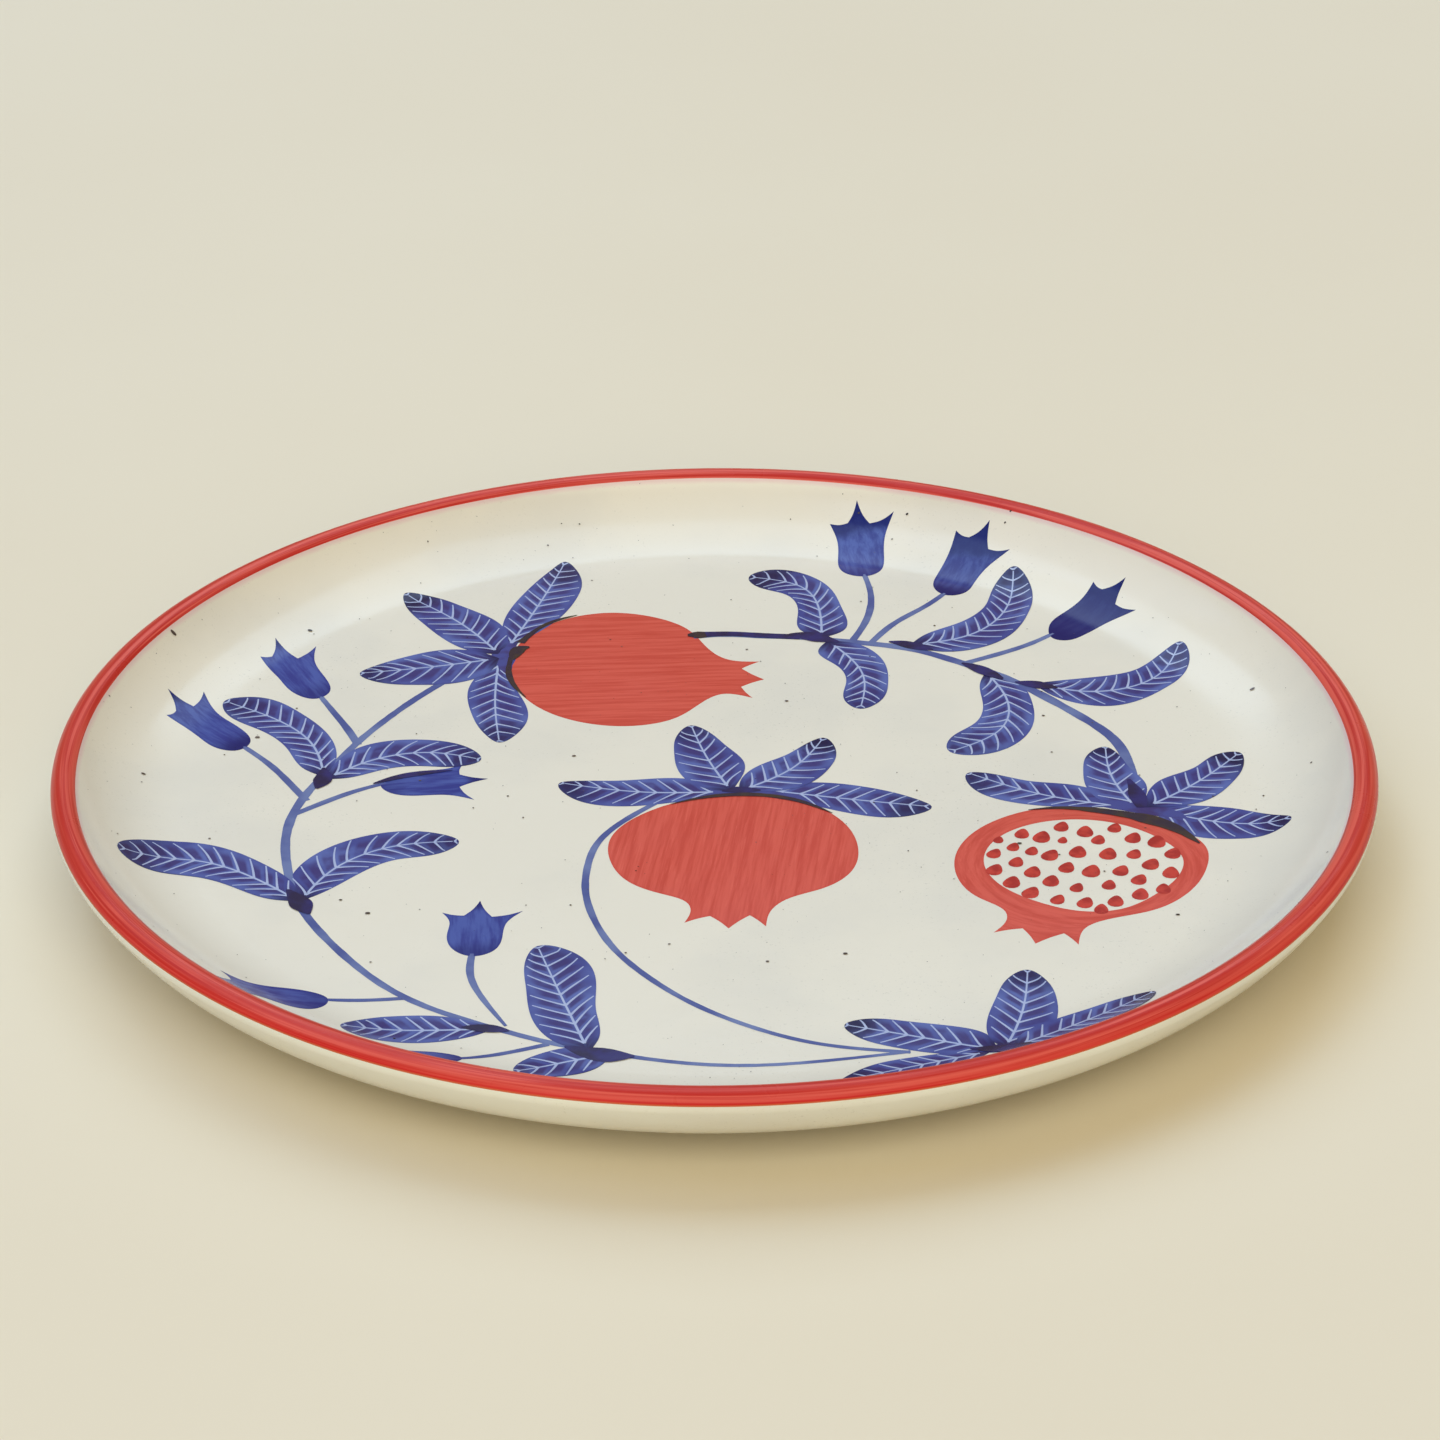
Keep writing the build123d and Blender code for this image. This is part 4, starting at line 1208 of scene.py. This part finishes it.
# %% Line blue
line_blue = drifting(colour(108, 124, 174), colour(74, 88, 152), 80.0, edges=(0.36, 0.62))
line_finish = glazed("line_blue", line_blue)
for name, route, half_widths in vines:
    brush(name + "_painted", [(route, half_widths)], line_finish, "vine_blue", name)
for name, strokes in stalks.items():
    brush(name + "_painted", strokes, line_finish, "vine_blue", name)

# %% [markdown]
# ## Veins
# The painter scratches or draws pale veins over the wet blue. They are a rule: pairs at an even gap,
# each slanting forward to the leaf's edge, on both sides of a midrib. So a tree draws them once, in a
# straight leaf one long and two wide, where the rule is simple. Sample UV Surface then finds where
# each point falls on the real leaf, so the herringbone bends with it.


# %% Vein tree
last_vein = 0.98
vein_lift = 0.012 * MM


def write_veins():
    sizes = {"Pairs": 8, "Slant": 0.17, "Reach": 0.92, "Half width": 0.23 * MM}
    sizes.update({"Lift": paint_lift["line"], "Flatness": 0.04, "Seed": 11})
    page, given = geometry_tree("leaf_veins", sizes)
    index = page.node("GeometryNodeInputIndex")
    starts = page.node("GeometryNodeMeshLine", None, Count=given["Pairs"])
    first = (index + 0.75 + page.chance(-0.12, 0.12, given["Seed"])) / given["Pairs"]
    spots = page.vector(first, 0.0, 0.0)
    starts = page.node("GeometryNodeSetPosition", None, Geometry=starts, Position=spots)
    easing = ((1 - first) / tip_easing).up_to(1.0)
    sides = []
    for side in (-1, 1):
        reach = page.chance(0.9, 1.04, given["Seed"] + side)
        unit = page.node("GeometryNodeCurvePrimitiveLine", None, (0.0, 0.0, 0.0), (1.0, 1.0, 0.0))
        unit = page.node("GeometryNodeResampleCurve", {"mode": "COUNT"}, Curve=unit, Count=9)
        size = page.vector(given["Slant"] * easing, side * reach * given["Reach"], 1.0)
        inputs = {"Points": starts, "Instance": unit, "Scale": size}
        sides.append(page.node("GeometryNodeInstanceOnPoints", None, **inputs))
    midrib = page.node("GeometryNodeCurvePrimitiveLine", None, (0.08, 0.0, 0.0), (0.97, 0.0, 0.0))
    midrib = page.node("GeometryNodeResampleCurve", {"mode": "COUNT"}, Curve=midrib, Count=40)
    joined = page.tree.nodes.new("GeometryNodeJoinGeometry")
    for part in (*sides, midrib):
        page.tree.links.new(part.socket, joined.inputs[0])
    lines = page.node("GeometryNodeRealizeInstances", None, Signal(page, joined.outputs[0]))
    u, v, w = page.parts(page.node("GeometryNodeInputPosition"))
    inputs = {
        "Mesh": given["Geometry"],
        "Value": page.node("GeometryNodeInputPosition"),
        "Source UV Map": page.stored("leaf_place", "FLOAT_VECTOR"),
        "Sample UV": page.vector(u.up_to(last_vein), v * 0.5 + 0.5, 0.0),
    }
    sampled = page.node("GeometryNodeSampleUVSurface", {"data_type": "FLOAT_VECTOR"}, **inputs)
    lines = seat(page, lines, sampled)
    share = page.node("GeometryNodeSplineParameter", out="Factor")
    width = given["Half width"] * (1.15 - 0.55 * share)
    return finish_tree(page, sweep_flat(page, lines, width, given), given)


leaf_veins = write_veins()


vein_finish = glazed("vein_pale", drifting(colour(150, 166, 214), colour(184, 195, 224), 300.0, 2.0))


def leaf_sheet(piece):
    """The upper skin of a leaf, alone and flat-mapped, for the veins to be drawn on."""
    whole = piece.data
    count = len(whole.vertices) // 2
    points = [v.co[:] for v in whole.vertices[:count]]
    faces = [list(p.vertices) for p in whole.polygons if max(p.vertices) < count]
    sheet = bpy.data.meshes.new(piece.name + ".sheet")
    sheet.from_pydata(points, [], faces)
    along = [d.value for d in whole.attributes["along"].data][:count]
    across = [d.value for d in whole.attributes["across"].data][:count]
    uv = sheet.uv_layers.new(name="leaf_place")
    for loop in sheet.loops:
        i = loop.vertex_index
        uv.data[loop.index].uv = along[i], across[i] * 0.5 + 0.5
    return sheet


def joined_mesh(name, meshes, material):
    """Several meshes as one, with one material."""
    points, faces = [], []
    for mesh in meshes:
        first = len(points)
        points += [v.co[:] for v in mesh.vertices]
        faces += [[first + i for i in p.vertices] for p in mesh.polygons]
    whole = bpy.data.meshes.new(name)
    whole.from_pydata(points, [], faces)
    whole.materials.append(material)
    return whole


vein_meshes = []
for seed, (name, piece, pairs, slant, lift) in enumerate(leaf_pieces):
    sizes = {"Pairs": pairs, "Slant": slant, "Seed": 20 + 7 * seed, "Lift": lift + vein_lift}
    vein_meshes.append(grow(name + "_veins", leaf_sheet(piece), leaf_veins, vein_finish, **sizes))
veins = share_gloss(joined_mesh("leaf_veins_drawn", vein_meshes, vein_finish))
place("leaf_veins_drawn", veins, "leaf_blue")
print("veins:", len(veins.polygons), "faces")

# %% [markdown]
# ## Seeds
# The cut fruit's seeds are single touches of a small brush: a drop, rounder at one end, all leaning
# the same way because the hand does. One drop is made and set on every point, sized by that point.

# %% Seeds: x, y and length in millimetres
seeds = [
    (70.3, -17.1, 4.3), (74.9, -19.2, 4.8), (81, -17.8, 4.0), (62.1, -19.9, 4.2), (66, -21.3, 5.0),
    (70.1, -22.7, 2.8), (77.3, -22.6, 4.0), (84.4, -21.9, 4.6), (89, -23.5, 5.2), (57.2, -22.4, 2.9),
    (60, -25.3, 3.6), (56, -27.9, 4.1), (63.6, -27, 3.7), (67.2, -28.7, 4.8), (72.8, -27.5, 5.0),
    (78.8, -28.3, 5.0), (84, -28.5, 4.1), (91.8, -28.3, 4.6), (60.2, -31.4, 4.2), (55.7, -34.4, 4.7),
    (63.2, -35.4, 4.7), (70.1, -33.7, 4.5), (74.9, -35.2, 5.2), (80.8, -35.1, 4.5), (87, -32.6, 4.8),
    (90.6, -36, 4.8), (58.8, -39.4, 4.9), (66.6, -39, 4.7), (71.5, -41.7, 3.8), (77.9, -40.7, 4.0),
    (84.1, -38.7, 4.4), (88.5, -42.4, 4.2), (62.3, -43.5, 4.8), (67.4, -46.3, 4.0), (72.7, -47.6, 4.5),
    (78.7, -47.1, 4.5), (83.8, -44.4, 4.7), (75.6, -50.1, 4.0),
]


def scatter(page, points, grain, **inputs):
    """Sets a grain on every point and makes all of them plain, smooth geometry."""
    grains = page.node("GeometryNodeInstanceOnPoints", None, Points=points, Instance=grain, **inputs)
    grains = page.node("GeometryNodeRealizeInstances", None, grains)
    return page.node("GeometryNodeSetShadeSmooth", None, Geometry=grains)


def write_seeds():
    sizes = {"Width": 0.68, "Taper": 0.35, "Lean": math.radians(-17.0), "Spread": math.radians(9.0)}
    page, given = geometry_tree("seeds", {**sizes, "Lift": paint_lift["vine"], "Flatness": 0.012, "Seed": 5})
    drop = page.node("GeometryNodeMeshUVSphere", None, Segments=16, Rings=6, Radius=0.5)
    x, y, z = page.parts(page.node("GeometryNodeInputPosition"))
    tapered = page.vector(x * given["Width"] * (1 - given["Taper"] * y * 2), y, z)
    drop = page.node("GeometryNodeSetPosition", None, Geometry=drop, Position=tapered)
    length = page.stored("length")
    lean = given["Lean"] + given["Spread"] * page.chance(-1.0, 1.0, given["Seed"])
    scale = page.vector(length, length, length)
    touches = scatter(page, given["Geometry"], drop, Scale=scale, Rotation=page.vector(0.0, 0.0, lean))
    return finish_tree(page, press(page, touches, given["Lift"], given["Flatness"]), given)


def points_mesh(name, places, label):
    """Loose points on the glaze, each with a size in millimetres."""
    mesh = bpy.data.meshes.new(name)
    spots = np.array(places) * MM
    heights = glaze_height(np.hypot(spots[:, 0], spots[:, 1]))
    mesh.from_pydata(np.column_stack([spots[:, :2], heights]).tolist(), [], [])
    mesh.attributes.new(label, "FLOAT", "POINT").data.foreach_set("value", spots[:, 2])
    return mesh


seed_red = drifting(colour(200, 62, 54), colour(168, 38, 38), 380.0, 2.0, (0.35, 0.65))
seed_spots = points_mesh("seeds", seeds, "length")
seed_mesh = grow("pomegranate_seeds_painted", seed_spots, write_seeds(), glazed("seed_red", seed_red))
place("pomegranate_seeds_painted", share_gloss(seed_mesh), "seed_red", "pomegranate_seeds")
print("seeds:", len(seeds), "faces:", len(seed_mesh.polygons))

# %% [markdown]
# ## Where blue meets red, and knots
# Where a leaf's blue runs over a fruit's red the two fire to a brown that is nearly black. And where
# leaves spring from a vine the brush rests, and leaves a knot of thick dark blue. Both are short
# strokes that swell and taper, so the stroke tree makes them too.

# %% Dark strokes: route in millimetres, half widths
brown_strokes = [
    ([(-30.5, 80.5), (-35.5, 77.6), (-40, 72.2), (-42.6, 67)], (0.1, 0.5, 0.7, 0.9)),
    ([(-40.6, 64.9), (-42.6, 64), (-43.6, 61.5), (-44.2, 58.8)], (0.3, 1.6, 1.4, 0.5)),
    ([(-44.4, 60), (-44.7, 53.5), (-43, 46), (-40.5, 41)], (0.6, 0.7, 0.6, 0.1)),
    ([(-9, -6.8), (-4, -4.6), (3, -3), (11, -3.4), (18, -6.2), (24, -11)], (0.1, 0.5, 0.7, 0.7, 0.6, 0.1)),
    ([(64, -10.2), (70, -9.4), (78, -10.6), (86, -13.4), (93, -18), (97.5, -24.5)],
     (0.1, 0.6, 1.1, 1.7, 1.5, 0.2)),
    ([(-5.8, 70.2), (-3.4, 70.3), (-1, 70.4)], (0.5, 1.4, 0.9)),
]
knot_strokes = [
    ([(16.5, 70.2), (19, 69.8), (21.8, 69), (24.5, 67.8), (27.5, 66.4)], (0.3, 1.6, 2.1, 1.5, 0.3)),
    ([(38.5, 66.4), (41.5, 65.4), (44.5, 63.8), (48, 62.2)], (0.2, 1.4, 1.4, 0.3)),
    ([(54, 55.8), (56.8, 53.6), (59.6, 51), (62.5, 48.2)], (0.3, 1.5, 1.6, 0.3)),
    ([(65, 46.6), (68, 45.8), (71, 44.8), (74, 43.8)], (0.2, 1.5, 1.5, 0.3)),
    ([(-81.4, 9.8), (-81.1, 6.8), (-81.3, 4), (-82.2, 0.8)], (0.3, 1.6, 1.9, 0.3)),
    ([(-84.6, -40.6), (-82.8, -43.6), (-81.2, -46.6), (-79.4, -50.2)], (0.3, 1.7, 2.1, 0.3)),
    ([(-28, -99.2), (-24.5, -101), (-20.5, -102.3), (-15, -102.7)], (0.3, 1.9, 2.1, 0.3)),
    ([(-47.5, -92.2), (-44.5, -92.5), (-41.5, -92.9), (-38.5, -93.6)], (0.2, 1.3, 1.3, 0.2)),
    ([(85.6, 2.5), (86.4, -1.5), (86.9, -5.5), (87.2, -9.5)], (0.4, 1.3, 1.9, 1.0)),
    ([(47, -101), (50.5, -101.6), (54, -101.8), (58.5, -100.4)], (0.2, 1.4, 1.6, 0.3)),
    ([(1.5, -1.4), (4, -1), (6.5, -0.9), (9.5, -1.2)], (0.2, 1.1, 1.1, 0.2)),
    ([(-70.6, 2.8), (-66, 5.4), (-60, 7.4), (-54.5, 8.4)], (0.2, 0.9, 0.8, 0.1)),
]
wash_strokes = [
    ([(66, -7), (76, -6.2), (84, -8), (92, -11.5), (98, -15.5)], (0.4, 1.5, 2.6, 2.4, 0.6)),
    ([(-9, -4), (-1, -1.6), (7, -1.4), (15, -3.6), (22, -6.6)], (0.4, 1.7, 1.8, 1.6, 0.4)),
    ([(-43, 71), (-45.6, 65), (-46, 59), (-45.4, 52)], (0.6, 2.2, 2.6, 0.8)),
    ([(45, -100.6), (53, -101.6), (61, -99)], (0.6, 1.8, 0.6)),
]
dark_vine_strokes = [([(-3.8, 70.2), (3, 70.7), (11, 69.8), (19, 69)], (1.2, 1.1, 1.0, 1.2))]

# %% Paint the dark strokes
fired_brown = drifting(colour(62, 50, 46), colour(44, 34, 58), 220.0, edges=(0.35, 0.65))
knot_navy = drifting(colour(40, 38, 108), colour(30, 24, 70), 200.0, edges=(0.35, 0.65))
wash_blue = drifting(leaf_blue, leaf_indigo, 150.0, edges=(0.4, 0.6))
brown_finish = glazed("overlap_brown", fired_brown)
knot_finish = glazed("knot_navy", knot_navy)
wash_finish = glazed("wash_blue", wash_blue)
brush("overlap_strokes", brown_strokes, brown_finish, "leaf_blue", lift="shade", hand=0.5)
brush("vine_knots", knot_strokes + dark_vine_strokes, knot_finish, "vine_blue", lift="shade", hand=0.2)
brush("leaf_washes", wash_strokes, wash_finish, "leaf_blue", lift="vine", hand=0.4)

# %% [markdown]
# ## Specks
# Grains of iron melt into small brown and black dots. A few are large enough to place one by one. The
# rest are dust, so a tree scatters them over the glaze and makes most of them very small.

# %% Specks: x, y and width in millimetres
large_specks = [
    (-89.4, 72.3, 0.9), (-117, 54, 1.0), (-96.5, 23.5, 0.9), (7.2, 63, 0.5), (15.5, 38.5, 0.7),
    (-29.4, 14.3, 0.7), (61.3, -24, 0.8), (90.3, -52.6, 0.7), (-118.2, 4.5, 0.8), (-61, 4, 0.5),
    (-68, -50, 0.9), (-73.7, -44.8, 0.6), (10, -69.2, 0.6), (25, -66.5, 0.8), (70, 31, 0.6), (115, 37, 0.9),
]


def write_specks():
    sizes = {"Density": 9000.0, "Smallest": 0.16 * MM, "Largest": 0.5 * MM, "Lift": paint_lift["line"]}
    page, given = geometry_tree("specks", {**sizes, "Flatness": 0.05, "Seed": 8})
    up = page.parts(page.node("GeometryNodeInputNormal"))[2] > 0.3
    inputs = {"Mesh": given["Geometry"], "Selection": up, "Density": given["Density"], "Seed": given["Seed"]}
    dust = page.node("GeometryNodeDistributePointsOnFaces", {"distribute_method": "RANDOM"}, **inputs)
    mostly_small = page.chance(0.0, 1.0, given["Seed"] + 1) ** 4
    width = given["Smallest"] + (given["Largest"] - given["Smallest"]) * mostly_small
    grain = page.node("GeometryNodeMeshIcoSphere", None, Radius=0.5, Subdivisions=1)
    scale = page.vector(width * page.chance(0.7, 1.5, given["Seed"] + 2), width, width)
    grains = scatter(page, dust, grain, Scale=scale)
    return finish_tree(page, press(page, grains, given["Lift"], given["Flatness"]), given)


def write_single_specks():
    page, given = geometry_tree("single_specks", {"Lift": paint_lift["line"], "Flatness": 0.05})
    grain = page.node("GeometryNodeMeshIcoSphere", None, Radius=0.5, Subdivisions=2)
    width = page.stored("width")
    grains = scatter(page, given["Geometry"], grain, Scale=page.vector(width * 1.2, width * 0.85, width))
    return finish_tree(page, press(page, grains, given["Lift"], given["Flatness"]), given)


# %% Place the specks
speck_paint = drifting(colour(52, 40, 34), colour(96, 84, 82), 90.0, 2.0, (0.4, 0.6))
speck_finish = glazed("iron_speck", speck_paint)
front_skin = bpy.data.objects["front_glaze"].data.copy()
dust_mesh = grow("iron_specks", front_skin, write_specks(), speck_finish)
large_spots = points_mesh("spots", large_specks, "width")
large_mesh = grow("large_specks", large_spots, write_single_specks(), speck_finish)
specks = share_gloss(joined_mesh("iron_specks", [dust_mesh, large_mesh], speck_finish))
place("iron_specks", specks, "bare_clay")
print("specks:", len(specks.polygons), "faces")

# %% [markdown]
# ## Table, light and camera
# The plate lies on a pale table that runs out of sight. One broad soft light stands behind it and
# above, so the back wall of the well carries a pale reflection and the shadow falls forward. What
# fills the shadow has bounced off warm paper, so the sky is dim and warm.


# %% Table
table_half = 20.0
table_gap = 0.05 * MM
paper = drifting(colour(233, 224, 203), colour(231, 221, 199), 3.0, edges=(0.3, 0.7))


def make_table():
    mesh = bpy.data.meshes.new("table")
    corners = [(-1, -1), (1, -1), (1, 1), (-1, 1)]
    mesh.from_pydata([(x * table_half, y * table_half, -table_gap) for x, y in corners], [], [(0, 1, 2, 3)])
    mesh.materials.append(glazed("table_paper", paper, 0.85, 0.95, 0.0, gloss=0.1))
    table = bpy.data.objects.new("table", mesh)
    bpy.context.scene.collection.objects.link(table)
    table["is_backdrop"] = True


make_table()

# %% Light: azimuth, elevation, width, height, power, tint
lamp_distance = 4.0
lamps = {
    "window": (-3, 60, 3.9, 3.8, 104, (0.60, 0.79, 1.0)),
    "side_window": (-85, 55, 3.5, 3.5, 50, (0.27, 0.53, 1.0)),
    "warm_wall": (180, 35, 4.2, 3.2, 99, (1.0, 0.98, 0.84)),
}
room_tint = (1.0, 0.70, 0.29, 1)
room_strength = 0.32


def soft_box(name, azimuth, elevation, width, height, power, tint):
    """A rectangular light that faces the plate. Azimuth 0 is behind the plate, away from the camera."""
    a, e = math.radians(azimuth), math.radians(elevation)
    direction = Vector((math.sin(a) * math.cos(e), math.cos(a) * math.cos(e), math.sin(e)))
    light = bpy.data.lights.new(name, "AREA")
    light.shape = "RECTANGLE"
    light.size, light.size_y = width, height
    light.energy = power
    light.color = tint
    lamp = bpy.data.objects.new(name, light)
    lamp.location = direction * lamp_distance
    lamp.rotation_euler = (-direction).to_track_quat("-Z", "Y").to_euler()
    bpy.context.scene.collection.objects.link(lamp)


for name, settings in lamps.items():
    soft_box(name, *settings)
world = bpy.data.worlds.new("room")
world.use_nodes = True
sky = world.node_tree.nodes["Background"]
sky.inputs["Color"].default_value = room_tint
sky.inputs["Strength"].default_value = room_strength
bpy.context.scene.world = world
bpy.context.scene.view_settings.view_transform = "Standard"
print("lights:", ", ".join(lamps))

# %% Camera
camera_distance = 861.9 * MM
camera_elevation = 27.85
camera_roll = -0.38
camera_lens = 105
aim_right = -0.0014
aim_down = 0.0068


def make_camera():
    data = bpy.data.cameras.new("camera")
    data.lens = camera_lens
    data.sensor_width = 36
    e, c = math.radians(camera_elevation), math.radians(camera_roll)
    forward = Vector((0, math.cos(e), -math.sin(e)))
    down = Vector((0, -math.sin(e), -math.cos(e)))
    right = Vector((1, 0, 0))
    camera = bpy.data.objects.new("camera", data)
    target = Vector((0, 0, lip_z))
    aim = right * aim_right + down * aim_down + forward
    picture_right = right * math.cos(c) - down * math.sin(c)
    picture_down = right * math.sin(c) + down * math.cos(c)
    turn_axes = Matrix((picture_right, -picture_down, -forward)).transposed()
    camera.matrix_world = Matrix.Translation(target - aim * camera_distance) @ turn_axes.to_4x4()
    bpy.context.scene.collection.objects.link(camera)
    bpy.context.scene.camera = camera
    return camera


camera = make_camera()
bpy.context.view_layer.update()
print("camera at", [round(v, 4) for v in camera.matrix_world.translation])

# %% [markdown]
# ## Sizes
# The boxes of the measured model and of the look are printed side by side. The look must
# not grow past the measured model.

# %% Sizes
visual_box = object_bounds()
sizes = {"cad": [list(corner) for corner in cad_box], "visual": [list(corner) for corner in visual_box]}
print(sizes)
